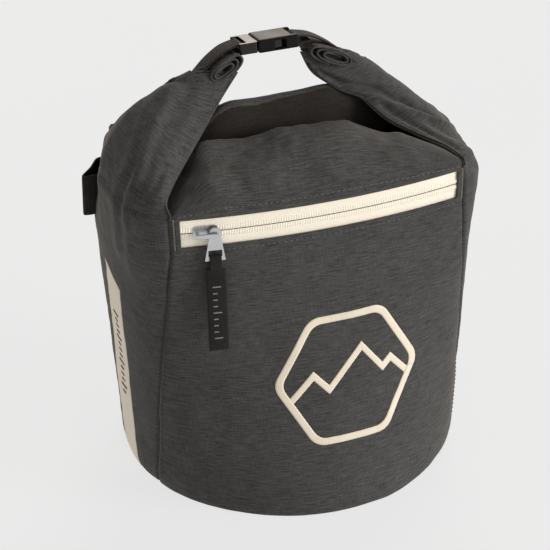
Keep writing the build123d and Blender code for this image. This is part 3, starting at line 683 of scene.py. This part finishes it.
def make_brush_loop(hand, side):
    """A standing loop of wide elastic that holds a brush, sloping back to the wall behind."""
    node = "brush_loop_" + hand
    low, high = (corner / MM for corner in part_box(node))
    middle = (low[2] + high[2] - LOOP_TRIM) / 2
    front_y, back_y = low[1] + 0.75, high[1] - 0.75
    turns = side * np.linspace(3.0, 5.2, 200)
    wall = wall_point(turns, low[2] + 6.0)
    near, far = (np.interp(y, wall[:, 1], wall[:, 0]) - side * 0.6 for y in (front_y, back_y))
    out = side * LOOP_STAND
    sewn = side * 3.0
    corners = [(near - sewn, front_y), (near + out - side * 2.0, front_y), (near + out, front_y + 2.2),
               ((near + far + out) / 2, (front_y + back_y) / 2), (far + side * 1.2, back_y - 1.5),
               (far - sewn, back_y)]
    line = even_path(corners, 0.25)
    path = np.stack([line[:, 0], line[:, 1], np.full(len(line), middle)], axis=1)
    up = np.array([0.0, 0.0, 1.0])
    width = high[2] - low[2] - LOOP_TRIM
    elastic = sweep(hand + "_brush_loop_elastic", path, up, width, LOOP_THICKNESS, rib=0.35, pitch=1.1)
    dress(elastic, "bag", node)


def on_zip(points):
    """Moves points drawn at the front's middle, with z from the zip's middle line, to the slider."""
    x, y = turned_by(SLIDER_TURN, points[..., 0], points[..., 1] - FRONT_RADIUS)
    return np.stack([x, y + FRONT_CENTRE, points[..., 2] + ZIP_HEIGHT], axis=-1)


def tag_point(points):
    """Places points of the tag, drawn hanging straight down from the puller's bar."""
    y, z = turned_by(-TAG_TILT, points[..., 1], points[..., 2])
    return on_zip(np.stack([points[..., 0] + PULLER_X, y + PULLER_PLANE, z + BAR_Z], axis=-1))


def tick_marks(name, bars, body):
    """Small raised bars. Each bar is its four long edges in turn, as rows of points along it."""
    points, faces = [], []
    for bar in bars:
        index = len(points) + np.arange(bar.shape[0] * bar.shape[1]).reshape(bar.shape[:2])
        points.extend(bar.reshape(-1, 3).tolist())
        around = np.concatenate([index, index[:1]])
        faces += quads_of(around.T).reshape(-1, 4)[:, ::-1].tolist()
        faces += [index[:, 0].tolist(), index[::-1, -1].tolist()]
    dress(mesh_piece(name, points, faces, smooth=False), body)


def tag_band(name, places, width, thickness, rib, pitch):
    """A band of the tag along places given as y (out of the wall) and z below the puller's bar."""
    across = tag_point(np.array([[1.0, 0, 0]]))[0] - tag_point(np.array([[0.0, 0, 0]]))[0]
    path = tag_point(np.insert(places, 0, 0, axis=1))
    return sweep(name, path, across, width, thickness, rib, pitch)


def tag_curl(drop):
    """How far the hanging blade curls towards the wall."""
    return 0.5 * np.sin((drop + TAG_BLADE_FROM) / 22.0) - 0.3


def make_pull_tag():
    """Folded tape: a narrow loop through the puller and a wider sewn blade with plain tick marks."""
    around = np.linspace(-0.62 * math.pi, 0.62 * math.pi, 40) + math.pi / 2
    loop = np.stack([2.0 * np.cos(around), 2.0 * np.sin(around)], axis=1)
    back = even_path([(0.8, -9.0), (1.3, -5.0), loop[0]], 0.3)
    front = even_path([loop[-1], (-1.3, -5.0), (-0.8, -9.0)], 0.3)
    line = np.concatenate([back, loop[1:], front[1:]])
    dress(tag_band("pull_tag_loop", line, width=7.4, thickness=0.6, rib=0.2, pitch=0.7), "tag")
    drop = np.linspace(-TAG_BLADE_FROM, -TAG_LENGTH, 220)
    blade = np.stack([tag_curl(drop), drop], axis=1)
    piece = tag_band("pull_tag_blade", blade, width=12.4, thickness=1.9, rib=0.07, pitch=0.8)
    dress(piece, "tag", "pull_tag")
    bars = []
    for step in range(9):
        z = -18.0 - 4.2 * step
        reach = 2.6 if step % 4 == 0 else 1.4
        front, rear = tag_curl(z) - 1.06, tag_curl(z) - 0.76
        edges = ((front, z), (front, z - 0.8), (rear, z - 0.8), (rear, z))
        bars.append(tag_point(np.array([[(x, *edge) for x in (2 * reach - 2.6, -2.6)] for edge in edges])))
    tick_marks("tag_tick_marks", bars, "tag")


# ---- zip ----

TAPE_INSET = 1.25
TAPE_ENDS = (-95.0, 90.8)
RIB_PITCH = 1.6


def make_zip_tape(level, side):
    """One tape: flat cloth that swells over the coil near the middle line, with the coil's ribs."""
    x = np.linspace(*TAPE_ENDS, 1000)
    offsets = np.array([0.28, 0.5, 0.9, 1.5, 2.2, 3.0, 3.6, 4.2, 5.2, 7.0, 9.0, 10.6])
    turn = wall_turn(x, np.full(x.shape, ZIP_HEIGHT))
    grid = wall_point(turn[None, :], (ZIP_HEIGHT + side * offsets)[:, None], TAPE_INSET)
    swell = 0.85 * np.exp(-((offsets - 1.9) / 1.5) ** 2) + 0.25 * np.exp(-((offsets - 5.6) / 2.4) ** 2)
    fade = smoothstep(0.2, 0.6, offsets) * smoothstep(4.4, 3.4, offsets)
    ribs = 0.13 * np.cos(2 * math.pi * x / RIB_PITCH + (0 if side > 0 else math.pi))
    rise = swell[:, None] + fade[:, None] * ribs[None, :]
    grid = raised(grid, rise, side < 0)
    dress(sheet("zip_tape_" + level + "_woven", grid, 0.6, side < 0), "bag", "zip_tape_" + level)


# ---- films printed on the wall ----

def on_front(x, z):
    """The place and outward direction of the front cloth at a given x and height."""
    turn = wall_turn(x, z)
    share = (turn + WINDOW_END) / (2 * WINDOW_END)
    column = FIRST_COLUMN + share * WINDOW_STEPS
    row = np.interp(z, FRONT_ROWS, np.arange(len(FRONT_ROWS)))
    return sample(front_grid, row, column), sample(front_normals, row, column)


def film(name, x, z, lift, flip, *nodes):
    """A thin film lying on the front cloth, from a grid of x and height."""
    place, out = on_front(x, z)
    dress(sheet(name, place + out * lift, FILM, flip), "bag", *nodes)


def hexagon(radius, corner, count):
    """A hexagon with rounded corners, as evenly spaced points."""
    points = []
    inner = radius - corner / math.cos(math.radians(30))
    for side in range(6):
        middle = math.radians(60 * side)
        for turn in np.linspace(-30, 30, 12):
            angle = middle + math.radians(turn)
            points.append((inner * math.cos(middle) + corner * math.cos(angle),
                           inner * math.sin(middle) + corner * math.sin(angle)))
    points = np.array(points + points[:1])
    run = run_along(points)
    return at_places(points, run, np.linspace(0, run[-1], count, endpoint=False))


FILM = 0.3
FILM_LIFT = 0.22
STRIP_LEAN = -4.0  # how far forward the strip's top lies
EMBLEM_CENTRE = (8.5, 91.5)
EMBLEM_RADIUS = 50.0
RIDGE_LINE = [(-40, -9), (-24, 8), (-14, -3), (9, 22), (23, 4), (29, 9), (43, -7)]


def make_emblem():
    """A rounded hexagon ring with a plain mountain ridge across it."""
    outer = hexagon(EMBLEM_RADIUS, 12.0, 240)
    inner = hexagon(EMBLEM_RADIUS - 5.4, 9.5, 240)
    ring = wrapped(inner[None] + (outer - inner)[None] * np.linspace(0, 1, 5)[:, None, None])
    x, z = np.moveaxis(ring + EMBLEM_CENTRE, -1, 0)
    film("emblem_ring", x, z, FILM_LIFT, True, "front_emblem")
    line = np.array(RIDGE_LINE, float)
    top = at_places(line, np.arange(len(line)), np.linspace(0, len(line) - 1, 161)) + EMBLEM_CENTRE
    x, z = np.broadcast_arrays(top[:, 0], top[:, 1] + np.linspace(-6.2, 0, 5)[:, None])
    film("emblem_ridge", x, z, FILM_LIFT - 0.02, False)


def strip_point(y, z, lift):
    """The place on the left side cloth at a given y and height, and a little out from it."""
    turn = -turn_where(-y, z, (0, -1.0, 0), -3.9, -2.1)
    across = (turn - 3) / (3 - seam_turn(z))
    row = np.interp(z, WALL_ROWS, np.arange(len(WALL_ROWS)))
    column = (across + 1) / 2 * (len(ACROSS) - 1)
    return sample(left_grid, row, column) + sample(left_normals, row, column) * lift


def make_side_strip():
    """The pale strip up the left side, with a column of plain ticks."""
    low, high = (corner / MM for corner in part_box("side_strip"))
    y, z = np.meshgrid(np.linspace(low[1], high[1], 12), np.linspace(1.5, high[2], 90))
    up = z / high[2]
    slant = 1 - 0.07 * up * (high[1] - y) / (high[1] - low[1])
    grid = strip_point(y + STRIP_LEAN * up, z * slant, FILM_LIFT)
    dress(sheet("side_strip_film", grid, FILM, True), "bag", "side_strip")
    bars = []
    for step in range(14):
        z = 116.0 - 4.6 * step
        reach = 9.0 if step % 4 == 0 else 5.0
        y = np.linspace(STRIP_LEAN - reach / 2, STRIP_LEAN + reach / 2, 4)
        edges = ((z, 0.5), (z - 1.2, 0.5), (z - 1.2, 0.2), (z, 0.2))
        bars.append(np.stack([strip_point(y, np.full(4, height), lift) for height, lift in edges]))
    tick_marks("strip_tick_marks", bars, "bag")


# ---- materials ----

def add_node(tree, kind, *values, operation=None, **named_values):
    """Adds a node and gives its first output. A value is a setting or another node's output."""
    node = tree.nodes.new("ShaderNode" + kind)
    if operation:
        node.operation = operation
    for key, value in [*enumerate(values), *named_values.items()]:
        if isinstance(value, bpy.types.NodeSocket):
            tree.links.new(value, node.inputs[key])
        else:
            node.inputs[key].default_value = value
    return node.outputs[0]


class Shader:
    """A small helper that builds one procedural material."""

    def __init__(self, name, **settings):
        self.material = bpy.data.materials.new(name)
        self.material.use_nodes = True
        self.tree = self.material.node_tree
        self.surface = self.tree.nodes["Principled BSDF"]
        for key, value in settings.items():
            self.surface.inputs[key].default_value = value
        self.places = self.tree.nodes.new("ShaderNodeTexCoord").outputs

    def noise(self, scale, source, detail):
        place = add_node(self.tree, "Mapping", Vector=self.places[source], Scale=scale)
        return add_node(self.tree, "TexNoise", Vector=place, Scale=1.0, Detail=detail, Roughness=0.6)

    def maths(self, operation, *values):
        return add_node(self.tree, "Math", *values, operation=operation)

    def ramp(self, factor, stops):
        colour = add_node(self.tree, "ValToRGB", factor)
        first, last = colour.node.color_ramp.elements
        first.position, first.color = stops[0][0], (*stops[0][1], 1)
        last.position, last.color = stops[-1][0], (*stops[-1][1], 1)
        for position, shade in stops[1:-1]:
            colour.node.color_ramp.elements.new(position).color = (*shade, 1)
        return colour

    def drive(self, key, output):
        self.tree.links.new(output, self.surface.inputs[key])

    def bump(self, height, distance, strength):
        normal = add_node(self.tree, "Bump", Height=height, Distance=distance, Strength=strength)
        self.drive("Normal", normal)


def fabric_material(name, dark, light, source="UV", sheen=0.14):
    """Slubbed yarn-dyed cloth: long threads across, finer ones up, and a fine heather."""
    shader = Shader(name, Roughness=0.82, **{"Sheen Weight": sheen, "Sheen Roughness": 0.35,
                                             "Sheen Tint": (1.0, 0.84, 0.70, 1), "Specular IOR Level": 0.2})
    across = shader.noise((140, 2100, 1), source, 2.0)
    long_slub = shader.noise((75, 1300, 1), source, 1.0)
    up = shader.noise((1700, 150, 1), source, 2.0)
    heather = shader.noise((1500, 1500, 1500), "Object", 2.0)
    patches = shader.noise((26, 26, 26), "Object", 3.0)
    total = shader.maths("MULTIPLY", across, 0.34)
    for share, part in ((0.26, long_slub), (0.20, up), (0.14, heather), (0.10, patches)):
        total = shader.maths("ADD", total, shader.maths("MULTIPLY", part, share))
    middle = [(a + b) / 2 for a, b in zip(dark, light)]
    shader.drive("Base Color", shader.ramp(total, [(0.40, dark), (0.52, middle), (0.64, light)]))
    shader.bump(total, 0.0006, 0.55)
    return shader.material


def band_material(name, dark, light, scale, roughness=0.75, wear_share=0.35):
    """Ribbed tape or webbing, with threads running along it."""
    shader = Shader(name, Roughness=roughness, **{"Sheen Weight": 0.05, "Sheen Tint": (1.0, 0.85, 0.75, 1),
                                                  "Specular IOR Level": 0.25})
    ribs = shader.noise(scale, "UV", 2.0)
    wear = shader.noise((60, 60, 60), "Object", 4.0)
    total = shader.maths("ADD", shader.maths("MULTIPLY", ribs, 1 - wear_share),
                         shader.maths("MULTIPLY", wear, wear_share))
    shader.drive("Base Color", shader.ramp(total, [(0.36, dark), (0.64, light)]))
    shader.bump(total, 0.0004, 0.5)
    return shader.material


def hard_material(name, dark, light, roughness, grain, bump, metallic=0.0, reflection=0.5):
    """Moulded plastic, metal or film: fine grain, with uneven gloss where it is handled."""
    shader = Shader(name, Roughness=roughness, Metallic=metallic, **{"Specular IOR Level": reflection})
    fine = shader.noise((grain, grain, grain), "Object", 3.0)
    wide = shader.noise((grain * 0.06,) * 3, "Object", 4.0)
    total = shader.maths("ADD", shader.maths("MULTIPLY", fine, 0.5), shader.maths("MULTIPLY", wide, 0.5))
    shader.drive("Base Color", shader.ramp(total, [(0.3, dark), (0.7, light)]))
    shader.drive("Roughness", shader.maths("MULTIPLY_ADD", wide, 0.25, roughness - 0.12))
    shader.bump(total, bump, 0.5)
    return shader.material


MAKERS = {"fabric": fabric_material, "band": band_material, "hard": hard_material}
ACETAL = ((0.005, 0.004, 0.0035), (0.013, 0.0105, 0.009))
CREAM = (0.80, 0.71, 0.57)
# Each look is a kind of material, its name and its darkest and lightest colours. Bands then give the
# scale of their ribs, and hard looks their roughness, grain, bump and, if need be, metal and reflection.
LOOKS = {
    "fabric": ("fabric", "charcoal_slub_cloth", (0.019, 0.0184, 0.0176), (0.086, 0.0835, 0.0795)),
    # The inner look is the coated inner side of the cloth, made darker still as painted shade for the shade
    # inside the neck, the gussets and the ear tips.
    "inner": ("fabric", "coated_inner_cloth", (0.010, 0.0078, 0.006), (0.030, 0.0238, 0.0185)),
    "lining": ("fabric", "lining_fleece", (0.020, 0.017, 0.015), (0.050, 0.043, 0.038), "Object", 0.4),
    "webbing": ("band", "ribbed_webbing", (0.005, 0.004, 0.0034), (0.028, 0.021, 0.017), (2200, 260, 1)),
    "tag": ("band", "tag_tape", (0.004, 0.0034, 0.003), (0.012, 0.010, 0.009), (260, 2200, 1)),
    "tape": ("band", "cream_zip_tape", CREAM, (0.95, 0.89, 0.77), (3000, 700, 1), 0.7, 0.10),
    "print": ("hard", "pale_print_film", (0.68, 0.59, 0.46), CREAM, 0.55, 900, 0.0002),
    "ink": ("hard", "dark_ink", (0.02, 0.018, 0.017), (0.05, 0.045, 0.04), 0.6, 900, 0.0001),
    "tag_ink": ("hard", "grey_ink", (0.13, 0.12, 0.115), (0.22, 0.21, 0.20), 0.6, 900, 0.0001),
    "plastic": ("hard", "acetal_plastic", *ACETAL, 0.27, 700, 0.0001, 0.0, 0.32),
    "socket": ("hard", "moulded_acetal", *ACETAL, 0.36, 700, 0.0001, 0.0, 0.10),
    "metal": ("hard", "satin_nickel", (0.50, 0.50, 0.51), (0.62, 0.62, 0.63), 0.34, 900, 0.0001, 1.0),
    "coil": ("hard", "coil_nylon", (0.16, 0.10, 0.05), (0.32, 0.21, 0.11), 0.5, 900, 0.0001),
    "thread": ("hard", "grey_thread", (0.085, 0.082, 0.077), (0.17, 0.165, 0.155), 0.7, 1500, 0.0001),
    "tack": ("hard", "bar_tack_thread", (0.15, 0.13, 0.10), (0.27, 0.24, 0.19), 0.7, 1500, 0.0001),
    "seam_thread": ("hard", "dark_thread", (0.010, 0.0095, 0.009), (0.025, 0.024, 0.022), 0.7, 1500,
                    0.0001),
    "foam": ("hard", "foam", (0.30, 0.30, 0.31), (0.42, 0.42, 0.43), 0.9, 500, 0.0004),
    "board": ("hard", "stiff_board", (0.06, 0.06, 0.06), (0.11, 0.11, 0.11), 0.6, 300, 0.0002),
}


def paint(piece, material):
    piece.data.materials.clear()
    piece.data.materials.append(material)


# ---- building ----

left_grid = make_side_cloth("left", -1, LEFT_RIDGE, LEFT_EDGE, LEFT_BACK_EDGE, LEFT_FOLDS)
left_normals = grid_normals(left_grid, True)
right_grid = make_side_cloth("right", 1, RIGHT_RIDGE, RIGHT_EDGE, RIGHT_BACK_EDGE, RIGHT_FOLDS)
front_grid = make_front_cloth()
front_normals = grid_normals(front_grid)
make_back_cloth()
make_inner_layer("padding_foam", "wall_padding", inset=1.8, thickness=1.7, top=188)
make_inner_layer("lining_fleece", "lining", inset=4.2, thickness=0.8, top=186)
make_lip_roll()
make_gusset("left", -1, left_grid)
make_gusset("right", 1, right_grid)
make_ear_end("left", -1, left_grid)
make_ear_end("right", 1, right_grid)
make_roll_end("left", -1, x=-39.5, z=271.8, slope=30.0, half_length=12.0, half_height=4.8)
make_roll_end("right", 1, x=30.0, z=268.6, slope=-25.0, half_length=15.0, half_height=4.6)
make_strap("left", -1, -28.0, [(-58, 266.0), (-54, 270.0), (-47, 276.2), (-38, 281.8), (-28.0, 284.4)])
make_strap("right", 1, 9.4, [(51, 255), (47.5, 260), (40, 267.6), (31, 275.4), (20, 281.8), (9.4, 284.4)])
make_brush_loop("left", -1)
make_brush_loop("right", 1)
make_pull_tag()
make_zip_tape("upper", 1)
make_zip_tape("lower", -1)
make_emblem()
make_side_strip()


def sew(name, grid, normals, rows, columns, body="bag", lift=0.05, **sizes):
    """Stitches along part of a row or column of a cloth's grid."""
    out = normals[rows, columns]
    dress(stitches(name, grid[rows, columns] + out * lift, out, **sizes), body)


def make_stitching():
    """Thread along the zip window, across its ends, down the front seams and on the left hem."""
    columns = slice(FIRST_COLUMN - 3, LAST_COLUMN + 4)
    for name, row in (("stitches_above_zip", HIGH_ROW + 7), ("stitches_below_zip", LOW_ROW - 7)):
        sew(name, front_grid, front_normals, row, columns, lift=0.12)
    rows = slice(LOW_ROW - 3, HIGH_ROW + 3)
    for hand, column in (("left", FIRST_COLUMN - 8), ("right", LAST_COLUMN + 8)):
        sew("stitches_zip_" + hand + "_end", front_grid, front_normals, rows, column, lift=0.12,
            stitch=0.7, gap=0.5, radius=0.6)
    rows = slice(6, LOW_ROW)
    for hand, column in (("left", 3), ("right", -4)):
        sew("stitches_" + hand + "_seam", front_grid, front_normals, rows, column,
            stitch=2.4, gap=1.2, radius=0.22)
    hem_row = len(SIDE_HEIGHTS) - 1 - int(round(HEM_WIDTH * EAR_ROWS / EAR_SPAN))
    sew("stitches_left_hem", left_grid, left_normals, hem_row, slice(6, 75), "left_handle")


make_stitching()

materials = {key: MAKERS[kind](*settings) for key, (kind, *settings) in LOOKS.items()}
NODE_MATERIALS = {
    "plastic": ("buckle_plug", "prong_front", "prong_back"),
    "socket": ("buckle_socket",),
    "metal": ("zip_slider", "zip_puller"),
    "coil": ("zip_coil_lower", "zip_coil_upper", "zip_end_stops"),
    "lining": ("pocket_bag",),
    "board": ("base_board", "lip_stiffener"),
    "fabric": ("base_panel",),
    "webbing": ("base_binding",),
}
for kind, names in NODE_MATERIALS.items():
    for name in names:
        paint(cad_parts[name], materials[kind])

# For each look, the slot its pieces share, if any, and the pieces.
PIECE_LOOKS = {
    "fabric": ("shell_fabric", ("left_side_cloth", "right_side_cloth", "front_cloth", "back_cloth",
                                "lip_roll_cloth", "left_roll_end_cloth", "right_roll_end_cloth")),
    "webbing": ("webbing", ("left_strap_webbing", "right_strap_webbing", "left_brush_loop_elastic",
                            "right_brush_loop_elastic")),
    "tag": ("webbing", ("pull_tag_loop", "pull_tag_blade")),
    "tape": ("zip_tape", ("zip_tape_upper_woven", "zip_tape_lower_woven")),
    "print": ("print", ("emblem_ring", "emblem_ridge", "side_strip_film")),
    "ink": (None, ("strip_tick_marks",)),
    "tag_ink": (None, ("tag_tick_marks",)),
    "foam": ("foam", ("padding_foam",)),
    "lining": (None, ("lining_fleece",)),
    "thread": (None, ("stitches_above_zip", "stitches_below_zip")),
    "tack": (None, ("stitches_zip_left_end", "stitches_zip_right_end")),
    "seam_thread": (None, ("stitches_left_seam", "stitches_right_seam", "stitches_left_hem")),
    # Ear ends and gussets take the inner look, dark as painted shade where they lie in the shadow inside
    # the ears.
    "inner": ("shell_fabric", ("left_ear_end", "right_ear_end", "left_gusset", "right_gusset")),
}
for kind, (slot, names) in PIECE_LOOKS.items():
    for name in names:
        piece = bpy.data.objects[name]
        paint(piece, materials[kind])


def paint_inner_side_and_shade(name, inside):
    """Gives the coated inner side of the cloth, darkened as painted shade, to the faces whose middle is
    inside the neck.
    """
    piece = bpy.data.objects[name]
    piece.data.materials.append(materials["inner"])
    for face in piece.data.polygons:
        if inside(face.center / MM):
            face.material_index = 1


# The roll's front face and the front cloth behind the crest get the inner look, dark as painted shade for
# the shaded neck.
paint_inner_side_and_shade("lip_roll_cloth", lambda middle: middle.y < 0.027 * middle.x - 1.5)
paint_inner_side_and_shade("front_cloth", lambda middle: middle.z > RIM_HEIGHT and middle.y > -17)

BEVELS = {"buckle_plug": 1.1, "prong_front": 0.6, "prong_back": 0.6, "buckle_socket": 1.3,
          "zip_slider": 0.55, "zip_puller": 0.45}
for name, width in BEVELS.items():
    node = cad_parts[name]
    bevel = node.modifiers.new("rounded_edges", "BEVEL")
    bevel.width = width * MM
    bevel.segments = 4
    bevel.limit_method = "ANGLE"
    bevel.harden_normals = True


# ---- floor, light and camera ----

SKY_STRENGTH = 0.75
SKY_TO_RIGHT = 0.22
SKY_OVERHEAD = -0.45
BACKDROP = 0.847
CAMERA_AZIMUTH = -20.5
CAMERA_ELEVATION = 30.214
CAMERA_AIM = (0, 0, 0.130)
CAMERA_DISTANCE = 1.8


def grey(level):
    return (level, level, level)


def make_floor():
    """A pale floor, mostly self-lit so that it stays as even as a studio sweep."""
    reach = 6000
    corners = [(-reach, -reach, -0.4), (reach, -reach, -0.4), (reach, reach, -0.4), (-reach, reach, -0.4)]
    floor = mesh_piece("floor", corners, [(0, 1, 2, 3)], [(0, 0), (1, 0), (1, 1), (0, 1)])
    shader = Shader("pale_floor", Roughness=0.9, **{"Specular IOR Level": 0.05, "Emission Strength": 1.0})
    soft = shader.noise((40, 40, 1), "UV", 2.0)
    shader.drive("Base Color", shader.ramp(soft, [(0.3, grey(0.088)), (0.7, grey(0.092))]))
    shader.drive("Emission Color", shader.ramp(soft, [(0.3, grey(0.738)), (0.7, grey(0.740))]))
    paint(floor, shader.material)


def soft_sun(name, place, strength, angle, colour):
    """Light from one side of the sky, as soft as a large studio panel."""
    data = bpy.data.lights.new(name, "SUN")
    data.energy = strength
    data.angle = math.radians(angle)
    data.color = colour
    light = bpy.data.objects.new(name, data)
    bpy.context.scene.collection.objects.link(light)
    light.rotation_mode = "QUATERNION"
    light.rotation_quaternion = (-Vector(place)).to_track_quat("-Z", "Y")


def make_lights():
    """A soft sky, seen by the camera in the floor's pale tone, with a key, a rim and a gloss light."""
    world = bpy.data.worlds.new("studio")
    bpy.context.scene.world = world
    world.use_nodes = True
    tree = world.node_tree
    sky = tree.nodes["Background"]
    sky.inputs["Color"].default_value = (*grey(1.0), 1)
    place = tree.nodes.new("ShaderNodeTexCoord").outputs["Generated"]
    parts = add_node(tree, "SeparateXYZ", place).node.outputs
    gain = add_node(tree, "Math", parts["Z"], SKY_OVERHEAD, SKY_STRENGTH, operation="MULTIPLY_ADD")
    gain = add_node(tree, "Math", parts["X"], SKY_TO_RIGHT, gain, operation="MULTIPLY_ADD")
    tree.links.new(gain, sky.inputs["Strength"])
    backdrop = add_node(tree, "Background", (*grey(BACKDROP), 1))
    seen = tree.nodes.new("ShaderNodeLightPath").outputs["Is Camera Ray"]
    light = add_node(tree, "MixShader", seen, sky.outputs[0], backdrop)
    tree.links.new(light, tree.nodes["World Output"].inputs["Surface"])
    soft_sun("key", (1.15, -0.78, 0.40), strength=2.4, angle=28, colour=(1.0, 0.985, 0.965))
    soft_sun("rim", (0.5, 0.8, 1.0), strength=1.5, angle=30, colour=(1.0, 0.93, 0.86))
    soft_sun("gloss", (0.303, 0.933, 0.195), strength=0.3, angle=20, colour=(1.0, 0.88, 0.78))


def make_camera():
    data = bpy.data.cameras.new("camera")
    camera = bpy.data.objects.new("camera", data)
    bpy.context.scene.collection.objects.link(camera)
    azimuth, elevation = math.radians(CAMERA_AZIMUTH), math.radians(CAMERA_ELEVATION)
    level = math.cos(elevation)
    back = Vector((math.sin(azimuth) * level, -math.cos(azimuth) * level, math.sin(elevation)))
    camera.location = Vector(CAMERA_AIM) + back * CAMERA_DISTANCE
    camera.rotation_mode = "QUATERNION"
    camera.rotation_quaternion = (-back).to_track_quat("-Z", "Y")
    data.lens = 182.55
    data.sensor_width = 36.0
    data.shift_x = -0.0211
    data.shift_y = -0.0313
    data.clip_end = 50
    bpy.context.scene.camera = camera


make_floor()
make_lights()
make_camera()
bpy.context.scene.view_settings.view_transform = "Standard"
